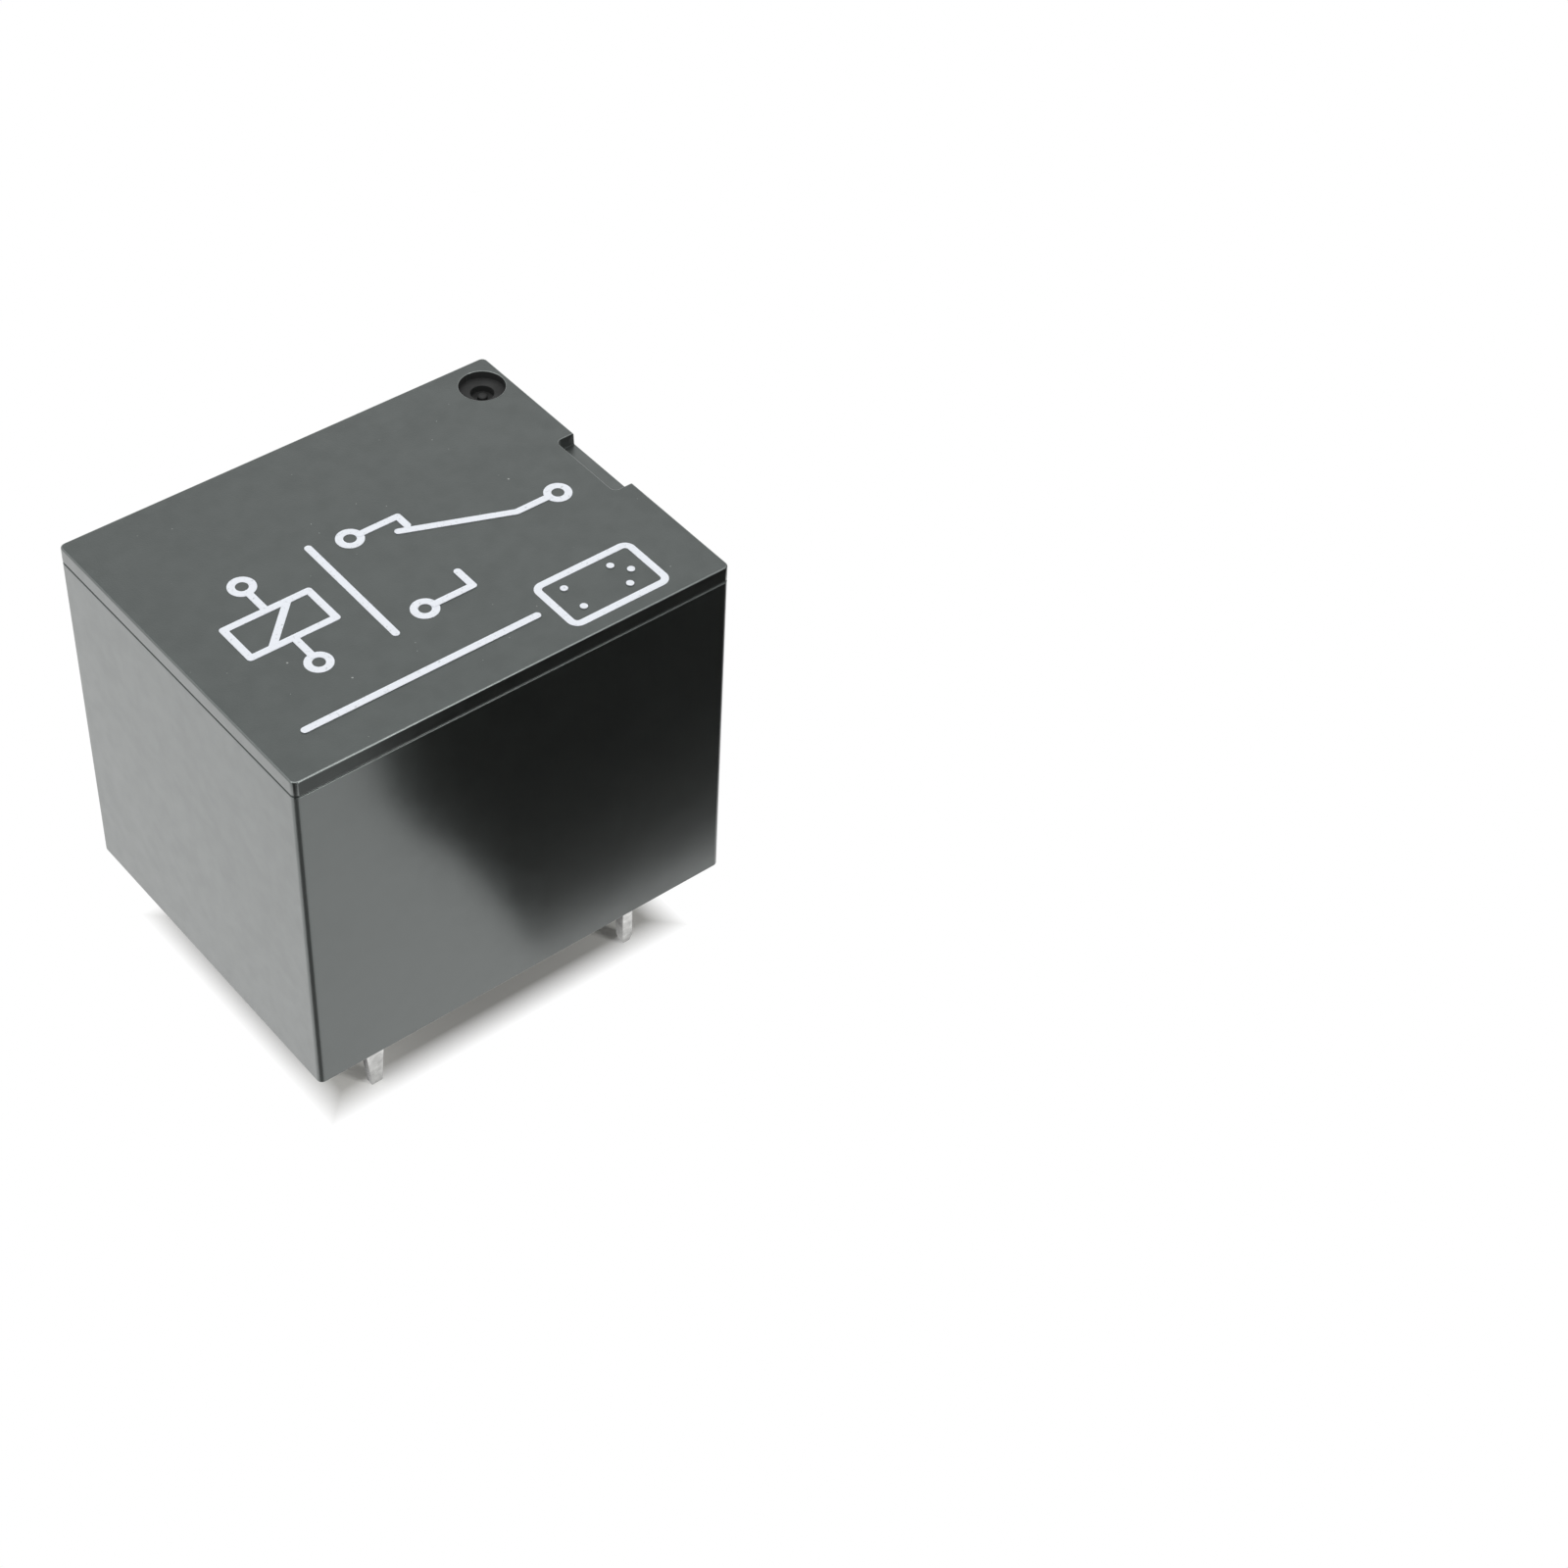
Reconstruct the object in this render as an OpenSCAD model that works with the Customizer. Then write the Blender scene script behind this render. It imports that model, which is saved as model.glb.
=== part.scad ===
// Sealed changeover power relay for a printed circuit board, in millimetres.
// The rim of the cover stands on the board at z = 0, and the pins reach below it.
// +X runs from the contact end to the end with the common pin, and +Y to the side with the vent.

/* [Cover] */
// Length of the cover along X
cover_l = 19; // [18:0.1:24]
// Width of the cover along Y
cover_w = 15.5; // [14.5:0.1:19]
// Height of the cover above the board
cover_h = 15.8; // [14.5:0.1:22]
// Thickness of the side walls
cover_wall = 0.7; // [0.5:0.05:1]
// Thickness of the roof
cover_roof = 0.9; // [0.75:0.05:1.5]
// Radius of the upright outer corners
corner_r = 0.25; // [0.2:0.05:1]
// Radius of the upright inner corners
inner_r = 0.3; // [0.1:0.05:0.8]
// Radius along the edges of the roof
edge_r = 0.08; // [0.05:0.01:0.18]
// Height of the band between the roof and the parting groove
band_h = 0.65; // [0.4:0.05:1.2]
// Height of the parting groove
groove_h = 0.1; // [0.05:0.01:0.2]
// Depth of the parting groove
groove_d = 0.06; // [0.03:0.01:0.15]

/* [Vent and notch] */
// Diameter of the vent recess in the roof
vent_d = 1.85; // [1.2:0.05:2]
// Depth of the vent recess
vent_depth = 0.35; // [0.2:0.05:0.4]
// Diameter of the well in the floor of the recess
vent_well_d = 0.93; // [0.7:0.01:1.1]
// Skin of the roof that is left under the well
vent_skin = 0.25; // [0.15:0.05:0.3]
// Diameter of the nib in the middle of the well
vent_nib_d = 0.4; // [0.2:0.05:0.5]
// Depth of the nib's top under the floor of the recess
vent_nib_drop = 0.1; // [0:0.02:0.14]
// Distance from the middle of the vent to the common end
vent_inset_x = 1.12; // [1.1:0.01:3]
// Distance from the middle of the vent to the side
vent_inset_y = 1.46; // [1.1:0.01:3]
// Width of the notch in the roof's edge at the common end
notch_w = 3.6; // [2:0.1:6]
// Depth of the notch along X
notch_d = 0.82; // [0.4:0.01:1.2]
// Depth of the notch under the roof
notch_drop = 0.5; // [0.2:0.05:0.7]
// Radius of the notch's corners
notch_r = 0.25; // [0.05:0.05:0.35]

/* [Base and seal] */
// Thickness of the base plate
base_t = 1.5; // [1.2:0.1:2.5]
// Gap between the base plate and the walls
base_clear = 0.1; // [0.05:0.01:0.2]
// Height of the resin's face above the board
seal_recess = 0.3; // [0.25:0.05:0.6]
// Thickness of the resin
seal_t = 0.4; // [0.3:0.05:0.8]
// Reach of the resin that creeps along the walls
meniscus = 0.2; // [0.1:0.01:0.22]
// Thickness of the creeping resin at its edge
meniscus_lip = 0.05; // [0.02:0.01:0.1]
// Width of the resin moat at the ends
moat_x = 1.4; // [1.25:0.05:2]
// Width of the resin moat along the sides
moat_y = 2.85; // [2.2:0.05:4]
// Radius of the corners of the base's island
island_r = 0.4; // [0.2:0.05:1]
// Step from the resin up to the face of the island
island_step = 0.05; // [0.02:0.01:0.1]
// Diameter of the ejector marks
mark_d = 1; // [0.6:0.1:1.4]
// Depth of the ejector marks
mark_depth = 0.08; // [0.04:0.01:0.15]
// Distance of the ejector marks from the middle along X
mark_x = 4.7; // [3.5:0.1:5.5]
// Distance of the ejector marks from the middle along Y
mark_y = 2.7; // [1:0.1:3]
// Diameter of the gate mark
gate_d = 3.9; // [2:0.1:5]
// Depth of the gate mark
gate_depth = 0.04; // [0.02:0.01:0.1]
// Distance of the gate mark from the middle towards the contact end
gate_x = 0.85; // [0:0.05:2]
// Width of the pockets in the rim
pocket_w = 1.2; // [0.8:0.1:2]
// Depth of the rim's pockets into the wall
pocket_d = 0.35; // [0.2:0.05:0.4]
// Height of the rim's pockets above the resin's face
pocket_rise = 0.3; // [0.1:0.05:0.5]
// Distance from the middle of a pocket to the inside of the end wall
pocket_inset = 2.2; // [1.5:0.1:4]

/* [Pins] */
// Length of the pins below the board plane
pin_out = 3.8; // [3:0.1:5]
// Distance from the common pin to the coil pins along X
common_offset = 2; // [1.4:0.1:3]
// Distance from the contact pins to the inside of the contact end
contact_inset = 2.7; // [2.2:0.1:3.5]
// Distance from the outer pins to the inside of the side walls
pin_inset = 1.05; // [0.9:0.05:1.4]
// Width of the square coil pins
coil_pin_w = 0.5; // [0.4:0.05:0.8]
// Width of the blade of a contact pin
contact_pin_w = 1; // [0.6:0.05:1.4]
// Width of the blade of the common pin
common_pin_w = 1.2; // [0.8:0.05:1.6]
// Thickness of the terminal strip
strip_t = 0.4; // [0.3:0.05:0.6]
// Gap around the pins in the base
pin_clear = 0.05; // [0.02:0.01:0.1]
// Gap around the pins at the mouth of the resin
collar_gap = 0.12; // [0.05:0.01:0.2]
// Depth of the mouth around the pins
collar_depth = 0.15; // [0.05:0.01:0.25]
// Length of the taper on the contact pins
blade_tip_l = 2.8; // [0.4:0.1:3]
// Length of the slope on one side of the common pin
common_tip_l = 2.2; // [0.6:0.1:2.8]
// Width of a blade at its tip
blade_tip_w = 0.5; // [0.2:0.05:0.6]
// Length of the taper on the coil pins
coil_tip_l = 0.4; // [0.2:0.05:1]
// Width of a coil pin at its tip
coil_tip_w = 0.34; // [0.2:0.02:0.4]

/* [Magnet] */
// Thickness of the yoke
yoke_t = 1.2; // [0.8:0.1:1.6]
// Width of the yoke
yoke_w = 9; // [6:0.5:10]
// Length of the yoke past the core
yoke_toe = 1.2; // [0.5:0.1:2]
// Thickness of the armature
armature_t = 1.1; // [0.8:0.1:1.6]
// Width of the armature
armature_w = 8; // [6:0.5:9.5]
// Length of the armature past the axis of the core
armature_nose = 3.5; // [3:0.1:4]
// Diameter of the core
core_d = 4; // [3:0.1:5]
// Diameter of the core's riveted tail
core_tail_d = 3.2; // [2:0.1:3.6]
// Diameter of the pole head
pole_d = 6.4; // [5:0.1:7]
// Thickness of the pole head
pole_t = 1; // [0.6:0.1:1.4]
// Gap between armature and yoke, and between the pulled armature and the pole
iron_gap = 0.02; // [0.01:0.01:0.05]

/* [Coil] */
// Wall of the bobbin's tube
bobbin_wall = 0.55; // [0.4:0.05:0.8]
// Gap between the core and the bobbin
core_clear = 0.05; // [0.02:0.01:0.1]
// Thickness of the lower flange
flange_low_t = 1; // [0.8:0.1:1.6]
// Thickness of the upper flange
flange_top_t = 0.7; // [0.5:0.1:1.2]
// Gap from the flanges to the yoke and to the contact terminals
flange_clear = 0.3; // [0.1:0.05:0.6]
// Gap from the flanges to the side walls
flange_side_clear = 1; // [0.5:0.1:2]
// Rim of the flanges around the winding
flange_lip = 0.6; // [0.4:0.1:1]
// Radius of the flanges' corners
flange_r = 0.8; // [0.3:0.1:2]
// Plastic around the coil pins
ear_wall = 0.45; // [0.3:0.05:0.6]
// Length of the ears along X, inwards from the coil pins
ear_l = 2.4; // [1.5:0.1:3]
// Gap between the ears and the yoke
ear_clear = 0.15; // [0.05:0.05:0.3]
// Height of the coil pins above the ears
coil_pin_rise = 2; // [1.6:0.1:3]
// Diameter of the wire's ends
lead_d = 0.2; // [0.1:0.02:0.3]
// Diameter of the solder on the coil pins
solder_d = 1.1; // [0.9:0.05:1.3]
// Height of the solder on the coil pins
solder_h = 1; // [0.6:0.1:1.4]

/* [Contacts] */
// Travel of the moving contact between the fixed ones
contact_gap = 0.45; // [0.3:0.05:0.8]
// Gap left where two contacts meet
touch_gap = 0.03; // [0.02:0.01:0.05]
// Diameter of the fixed contacts
fixed_d = 2.4; // [1.8:0.1:3]
// Height of the fixed contacts
fixed_h = 0.5; // [0.3:0.05:0.8]
// Strip left around the fixed contacts
tab_margin = 0.1; // [0.05:0.05:0.3]
// Inner radius of the terminals' bends
tab_bend_r = 0.3; // [0.1:0.05:0.6]
// Diameter of the moving contact
moving_d = 2.2; // [1.6:0.1:2.8]
// Height of each head of the moving contact
moving_h = 0.4; // [0.3:0.05:0.6]
// Rise of the domed heads
dome = 0.12; // [0.05:0.01:0.2]
// Diameter of the contacts' shanks
shank_d = 1; // [0.6:0.1:1.2]
// Diameter of the fixed contacts' tails
tail_d = 1.7; // [1.3:0.1:1.8]
// Height of the fixed contacts' tails
tail_h = 0.25; // [0.15:0.05:0.4]
// Gap between the tail of the upper contact and the roof
roof_clear = 0.35; // [0.1:0.05:0.6]

/* [Spring and rivets] */
// Thickness of the leaf spring
spring_t = 0.15; // [0.08:0.01:0.25]
// Width of the leaf spring on the yoke and the armature
spring_w = 5; // [4.8:0.1:6]
// Width of the leaf spring at the moving contact
spring_tip_w = 3; // [2.6:0.1:3.6]
// Inner radius of the leaf spring's bend
spring_bend_r = 0.4; // [0.2:0.05:0.8]
// Gap between the armature's back edge and the bend
bend_clear = 0.05; // [0.02:0.01:0.2]
// Diameter of the rivets
rivet_d = 1; // [0.6:0.1:1.2]
// Diameter of the rivet heads
rivet_head_d = 1.8; // [1.4:0.1:2]
// Height of the rivet heads
rivet_head_h = 0.3; // [0.2:0.05:0.5]
// Gap between the rivet heads and the end wall
rivet_wall_clear = 0.2; // [0.1:0.05:0.5]
// Gap around the shanks of rivets and contacts in their holes
rivet_clear = 0.02; // [0.01:0.01:0.05]
// Distance between the two rivets of a pair
rivet_pitch = 2.8; // [2.2:0.1:3]
// Distance from the yoke's top edge down to its rivets
rivet_drop = 3.5; // [2.5:0.1:4.5]
// Distance from the armature's back edge to its rivets
rivet_set = 2.2; // [1.5:0.1:3]
// Strip left around the yoke's rivet heads
rivet_margin = 0.1; // [0.05:0.05:0.4]

/* [Hidden] */
$fn = 64;
// Overshoot of cuts past the faces that they open
cut = 0.1;

// Room inside the cover
inner_l = cover_l - 2 * cover_wall;
inner_w = cover_w - 2 * cover_wall;
roof_z = cover_h - cover_roof;
groove_z = cover_h - band_h - groove_h;

// Features of the roof
vent_x = cover_l / 2 - vent_inset_x;
vent_y = cover_w / 2 - vent_inset_y;
vent_floor = cover_h - vent_depth;
vent_well = cover_roof - vent_depth - vent_skin;

// Levels of the base
base_z = seal_recess + seal_t;
base_top = base_z + base_t;
island_z = seal_recess + island_step;
island_l = inner_l - 2 * moat_x;
island_w = inner_w - 2 * moat_y;
pocket_x = inner_l / 2 - pocket_inset;
pocket_top = seal_recess + pocket_rise;

// Places along X, counted inwards from the two end walls
common_x = inner_l / 2 - rivet_wall_clear - rivet_head_h - strip_t / 2;
coil_x = common_x - common_offset;
contact_x = contact_inset - inner_l / 2;
yoke_back = common_x - strip_t / 2 - spring_t;
yoke_front = yoke_back - yoke_t;
pin_y = inner_w / 2 - pin_inset;

// Contact stack, counted down from the roof
tab_w = fixed_d + 2 * tab_margin;
nc_tab_z = roof_z - roof_clear - tail_h - strip_t;
nc_face_z = nc_tab_z - fixed_h;
spring_top = nc_face_z - touch_gap - moving_h;
spring_z = spring_top - spring_t;
no_face_z = spring_z - moving_h - contact_gap;
no_tab_z = no_face_z - fixed_h - strip_t;

// Magnet, with the armature hung under the spring
armature_z = spring_z - armature_t;
yoke_top = armature_z - iron_gap;
yoke_z = base_top + yoke_t;
flange_x = (yoke_front - contact_x - tab_w / 2) / 2 - flange_clear;
flange_y = min(flange_x, inner_w / 2 - flange_side_clear);
core_x = yoke_front - flange_clear - flange_x;
lever = yoke_front - contact_x;
travel = asin((contact_gap - touch_gap) / (lever + moving_d / 2));
pole_z = armature_z - iron_gap - (yoke_front - core_x + pole_d / 2) * sin(travel);
armature_front = core_x - armature_nose;
armature_back = yoke_back - spring_bend_r - bend_clear;

// Coil between the flanges of the bobbin
bobbin_top = pole_z - pole_t;
winding_z = yoke_z + flange_low_t;
winding_h = bobbin_top - flange_top_t - winding_z;
winding_r = min(flange_x, flange_y) - flange_lip;
tube_d = core_d + 2 * core_clear + 2 * bobbin_wall;
ear_y = pin_y + coil_pin_w / 2 + ear_wall;
ear_inner_y = yoke_w / 2 + ear_clear;
lead_z = winding_z + coil_pin_rise / 2;

// Tangent from a coil pin to the winding
lead_r = winding_r - lead_d / 2;
pin_reach = norm([coil_x - core_x, pin_y]);
lead_turn = atan2(pin_y, coil_x - core_x) + acos(lead_r / pin_reach);
lead_start = [core_x + lead_r * cos(lead_turn), lead_r * sin(lead_turn)];
lead_l = sqrt(pin_reach * pin_reach - lead_r * lead_r);

// Rivets of the yoke and of the armature
yoke_rivet_z = yoke_top - rivet_drop;
armature_rivet_x = armature_back - rivet_set;
common_plate = rivet_head_d + 2 * rivet_margin;

// Centre and section of each pin where it passes the base
pins = [
  [common_x, 0, strip_t, common_pin_w],
  [coil_x, -pin_y, coil_pin_w, coil_pin_w],
  [coil_x, pin_y, coil_pin_w, coil_pin_w],
  [contact_x, -pin_y, contact_pin_w, strip_t],
  [contact_x, pin_y, contact_pin_w, strip_t]
];

// Outline of a plate with round corners
module round_plate(l, w, r) {
  square([l - 2 * r, w], center = true);
  square([l, w - 2 * r], center = true);
  for (sx = [-1, 1], sy = [-1, 1])
    translate([sx * (l / 2 - r), sy * (w / 2 - r)]) circle(r);
}

// Upright block with round corners between two levels
module block(l, w, r, low, high) {
  translate([0, 0, low]) linear_extrude(high - low) round_plate(l, w, r);
}

// Side view of a box whose upper edges are round
module crowned_outline(l, h, r) {
  translate([-l / 2, 0]) square([l, h - r]);
  translate([r - l / 2, 0]) square([l - 2 * r, h]);
  for (s = [-1, 1])
    translate([s * (l / 2 - r), h - r]) circle(r);
}

// Section of a bend of a strip, in the first quadrant
module bend_section(r, t) {
  intersection() {
    difference() {
      circle(r + t);
      if (r > 0) circle(r);
    }
    square(r + t);
  }
}

// Stands a side view along X, with its thickness along Y
module stand_x(t) {
  rotate([90, 0, 0]) linear_extrude(t, center = true) children();
}

// Stands a side view along Y, with its thickness along X
module stand_y(t) {
  rotate([90, 0, 90]) linear_extrude(t, center = true) children();
}

// Block on z = 0 with round upright corners and round upper edges
module crowned_block(l, w, h, r, edge) {
  intersection() {
    block(l, w, r, 0, h);
    stand_x(w) crowned_outline(l, h, edge);
    stand_y(l) crowned_outline(w, h, edge);
  }
}

// Prisms around all pins between two levels, each wider than its pin by a gap
module pin_prisms(low, high, gap) {
  for (p = pins)
    translate([p[0], p[1], (low + high) / 2])
      cube([p[2] + 2 * gap, p[3] + 2 * gap, high - low], center = true);
}

// Blocks in the rim's pockets between two levels, reaching inwards past the wall's face
module rim_pockets(low, high, inwards) {
  for (sx = [-1, 1], sy = [-1, 1])
    translate([sx * pocket_x, sy * (inner_w + pocket_d - inwards) / 2, (low + high) / 2])
      cube([pocket_w, pocket_d + inwards, high - low], center = true);
}

// Round head with a domed face
module domed_head(d, h) {
  sphere_r = (d * d / 4 + dome * dome) / (2 * dome);
  rotate_extrude() intersection() {
    square([d / 2, h]);
    translate([0, h - sphere_r]) circle(sphere_r, $fn = 256);
  }
}

// Rivet with its head above z = 0 and its shank below
module rivet(grip) {
  domed_head(rivet_head_d, rivet_head_h);
  translate([0, 0, -grip]) cylinder(d = rivet_d, h = grip);
}

// Ring that cuts the groove where the two halves of the cover's mould part
module parting_groove() {
  difference() {
    block(cover_l + cut, cover_w + cut, corner_r, groove_z, groove_z + groove_h);
    block(cover_l - 2 * groove_d, cover_w - 2 * groove_d, corner_r - groove_d, groove_z - cut, cover_h);
  }
}

// Vent recess with a well around a small nib
module vent_cut() {
  translate([vent_x, vent_y, vent_floor]) {
    cylinder(d = vent_d, h = vent_depth + cut);
    difference() {
      translate([0, 0, -vent_well]) cylinder(d = vent_well_d, h = vent_well + cut);
      translate([0, 0, -vent_well - cut]) cylinder(d = vent_nib_d, h = vent_well + cut - vent_nib_drop);
    }
  }
}

module cover() {
  color("#3b3e3d") difference() {
    crowned_block(cover_l, cover_w, cover_h, corner_r, edge_r);
    block(inner_l, inner_w, inner_r, -cut, roof_z);
    parting_groove();
    vent_cut();
    translate([cover_l / 2, 0, 0]) block(2 * notch_d, notch_w, notch_r, cover_h - notch_drop, cover_h + cut);
    rim_pockets(-cut, pocket_top, cut);
  }
}

module base() {
  color("#2c2f2e") difference() {
    union() {
      block(inner_l - 2 * base_clear, inner_w - 2 * base_clear, inner_r, base_z, base_top);
      block(island_l, island_w, island_r, island_z, base_z);
    }
    pin_prisms(base_z - cut, base_top + cut, pin_clear);
    for (s = [-1, 1])
      translate([s * mark_x, -mark_y, island_z - cut]) cylinder(d = mark_d, h = mark_depth + cut);
    translate([-gate_x, 0, island_z - cut]) cylinder(d = gate_d, h = gate_depth + cut);
  }
}

// Room under the resin's face, narrowed at the top by the resin that creeps along the walls
module seal_room() {
  room_l = inner_l - 2 * meniscus_lip;
  room_w = inner_w - 2 * meniscus_lip;
  depth = meniscus + cut;
  translate([0, 0, seal_recess - depth]) crowned_block(room_l, room_w, depth, inner_r, meniscus);
}

module sealing_resin() {
  low = seal_recess - meniscus;
  color("#33373a") difference() {
    union() {
      block(inner_l, inner_w, inner_r, low, base_z);
      rim_pockets(seal_recess, pocket_top, cut);
    }
    seal_room();
    rim_pockets(low - cut, seal_recess, meniscus + meniscus_lip);
    block(island_l, island_w, island_r, low, base_z + cut);
    pin_prisms(low, base_z + cut, 0);
    pin_prisms(low, seal_recess + collar_depth, collar_gap);
  }
}

// Outline of a flange of the bobbin, around the axis of the core
module flange_outline() {
  translate([core_x, 0]) round_plate(2 * flange_x, 2 * flange_y, flange_r);
}

module bobbin() {
  ear_end = coil_x + coil_pin_w / 2 + ear_wall;
  color("#d9d5c6") difference() {
    union() {
      translate([0, 0, yoke_z]) linear_extrude(flange_low_t) {
        flange_outline();
        for (s = [0, 1])
          mirror([0, s]) translate([coil_x - ear_l, ear_inner_y])
            square([ear_end - coil_x + ear_l, ear_y - ear_inner_y]);
      }
      translate([core_x, 0, yoke_z]) cylinder(d = tube_d, h = bobbin_top - yoke_z);
      translate([0, 0, bobbin_top - flange_top_t]) linear_extrude(flange_top_t) flange_outline();
    }
    translate([core_x, 0, yoke_z - cut])
      cylinder(d = core_d + 2 * core_clear, h = bobbin_top - yoke_z + 2 * cut);
    pin_prisms(yoke_z - cut, winding_z + cut, pin_clear);
  }
}

// Solder around a coil pin, with bevelled ends
module solder_outside() {
  bevel = (solder_d - coil_pin_w) / 4;
  translate([0, 0, lead_z - solder_h / 2]) rotate_extrude() polygon([
    [0, 0], [solder_d / 2 - bevel, 0], [solder_d / 2, bevel],
    [solder_d / 2, solder_h - bevel], [solder_d / 2 - bevel, solder_h], [0, solder_h]
  ]);
}

// One wire end, from the winding to the solder on its pin
module lead(side) {
  aim = atan2(side * (pin_y - lead_start[1]), coil_x - lead_start[0]);
  difference() {
    translate([lead_start[0], side * lead_start[1], lead_z]) rotate([0, 90, aim])
      cylinder(d = lead_d, h = lead_l);
    translate([coil_x, side * pin_y, 0]) solder_outside();
  }
}

module coil_winding() {
  color("#9c5a2b") {
    translate([core_x, 0, winding_z]) difference() {
      cylinder(r = winding_r, h = winding_h);
      translate([0, 0, -cut]) cylinder(d = tube_d, h = winding_h + 2 * cut);
    }
    lead(-1);
    lead(1);
  }
}

module solder_joint(side) {
  color("#c4c6c8") difference() {
    translate([coil_x, side * pin_y, 0]) solder_outside();
    pin_prisms(winding_z, winding_z + coil_pin_rise, 0);
  }
}

module core() {
  color("#a3a5a6") translate([core_x, 0, 0]) {
    translate([0, 0, base_top]) cylinder(d = core_tail_d, h = yoke_t);
    translate([0, 0, yoke_z]) cylinder(d = core_d, h = bobbin_top - yoke_z);
    translate([0, 0, bobbin_top]) cylinder(d = pole_d, h = pole_t);
  }
}

module yoke() {
  toe_x = core_x - core_d / 2 - yoke_toe;
  color("#96999b") difference() {
    stand_x(yoke_w) {
      translate([toe_x, base_top]) square([yoke_front - toe_x, yoke_t]);
      translate([yoke_front, yoke_z]) rotate(-90) bend_section(0, yoke_t);
      translate([yoke_front, yoke_z]) square([yoke_t, yoke_top - yoke_z]);
    }
    translate([core_x, 0, base_top - cut]) cylinder(d = core_tail_d, h = yoke_t + 2 * cut);
    for (s = [-1, 1])
      translate([yoke_front - cut, s * rivet_pitch / 2, yoke_rivet_z]) rotate([0, 90, 0])
        cylinder(d = rivet_d + 2 * rivet_clear, h = yoke_t + 2 * cut);
  }
}

module yoke_rivets() {
  grip = strip_t + spring_t + yoke_t;
  color("#b2b4b5") for (s = [-1, 1])
    translate([common_x + strip_t / 2, s * rivet_pitch / 2, yoke_rivet_z]) rotate([0, 90, 0]) rivet(grip);
}

module common_terminal() {
  plate_w = rivet_pitch + common_plate;
  edge = common_pin_w / 2;
  color("#c9cbcc") difference() {
    translate([common_x, 0, 0]) stand_y(strip_t) {
      polygon([
        [-edge, common_tip_l - pin_out], [edge - blade_tip_w, -pin_out], [edge, -pin_out],
        [edge, yoke_rivet_z], [-edge, yoke_rivet_z]
      ]);
      translate([0, yoke_rivet_z]) square([plate_w, common_plate], center = true);
    }
    for (s = [-1, 1])
      translate([common_x - strip_t, s * rivet_pitch / 2, yoke_rivet_z]) rotate([0, 90, 0])
        cylinder(d = rivet_d + 2 * rivet_clear, h = 2 * strip_t);
  }
}

// Contact terminal on the -Y side: a blade, a wider upright strip and a tab bent over to the middle
module contact_terminal(tab_z) {
  inner_face = strip_t / 2 - pin_y;
  bend_y = inner_face + tab_bend_r;
  half = contact_pin_w / 2;
  difference() {
    translate([contact_x, 0, 0]) {
      translate([0, -pin_y, 0]) stand_x(strip_t) polygon([
        [-half, base_top], [-half, blade_tip_l - pin_out], [-blade_tip_w / 2, -pin_out],
        [blade_tip_w / 2, -pin_out], [half, blade_tip_l - pin_out], [half, base_top]
      ]);
      stand_y(tab_w) {
        translate([inner_face - strip_t, base_top]) square([strip_t, tab_z - tab_bend_r - base_top]);
        translate([bend_y, tab_z - tab_bend_r]) mirror([1, 0]) bend_section(tab_bend_r, strip_t);
        translate([bend_y, tab_z]) square([tab_w / 2 - bend_y, strip_t]);
      }
    }
    translate([contact_x, 0, tab_z - cut]) cylinder(d = shank_d + 2 * rivet_clear, h = strip_t + 2 * cut);
  }
}

module no_terminal() {
  color("#c9cbcc") contact_terminal(no_tab_z);
}

module nc_terminal() {
  color("#c9cbcc") mirror([0, 1, 0]) contact_terminal(nc_tab_z);
}

// Fixed contact with its head above z = 0 and its tail on the other side of the tab
module fixed_contact() {
  cylinder(d = fixed_d, h = fixed_h);
  translate([0, 0, -strip_t]) cylinder(d = shank_d, h = strip_t);
  translate([0, 0, -strip_t - tail_h]) cylinder(d = tail_d, h = tail_h);
}

module no_contact() {
  color("#d8d8d4") translate([contact_x, 0, no_tab_z + strip_t]) fixed_contact();
}

module nc_contact() {
  color("#d8d8d4") translate([contact_x, 0, nc_tab_z]) mirror([0, 0, 1]) fixed_contact();
}

// Side view of a coil pin, the same from both sides
module coil_pin_outline() {
  half = coil_pin_w / 2;
  top = winding_z + coil_pin_rise;
  polygon([
    [-half, top], [-half, coil_tip_l - pin_out], [-coil_tip_w / 2, -pin_out],
    [coil_tip_w / 2, -pin_out], [half, coil_tip_l - pin_out], [half, top]
  ]);
}

module coil_pin(side) {
  color("#c9cbcc") translate([coil_x, side * pin_y, 0]) intersection() {
    stand_x(coil_pin_w) coil_pin_outline();
    stand_y(coil_pin_w) coil_pin_outline();
  }
}

module armature() {
  color("#9a9d9f") difference() {
    translate([armature_front, -armature_w / 2, armature_z])
      cube([armature_back - armature_front, armature_w, armature_t]);
    for (s = [-1, 1])
      translate([armature_rivet_x, s * rivet_pitch / 2, armature_z - cut])
        cylinder(d = rivet_d + 2 * rivet_clear, h = armature_t + 2 * cut);
  }
}

module armature_rivets() {
  color("#b2b4b5") for (s = [-1, 1])
    translate([armature_rivet_x, s * rivet_pitch / 2, spring_top]) rivet(spring_t + armature_t);
}

// Plan of the spring: broad over the armature, narrower and round at the moving contact
module spring_plan() {
  tip = spring_tip_w / 2;
  broad = spring_w / 2;
  translate([contact_x, 0]) circle(tip);
  polygon([
    [contact_x, -tip], [armature_front, -broad], [yoke_back + spring_t, -broad],
    [yoke_back + spring_t, broad], [armature_front, broad], [contact_x, tip]
  ]);
}

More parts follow.
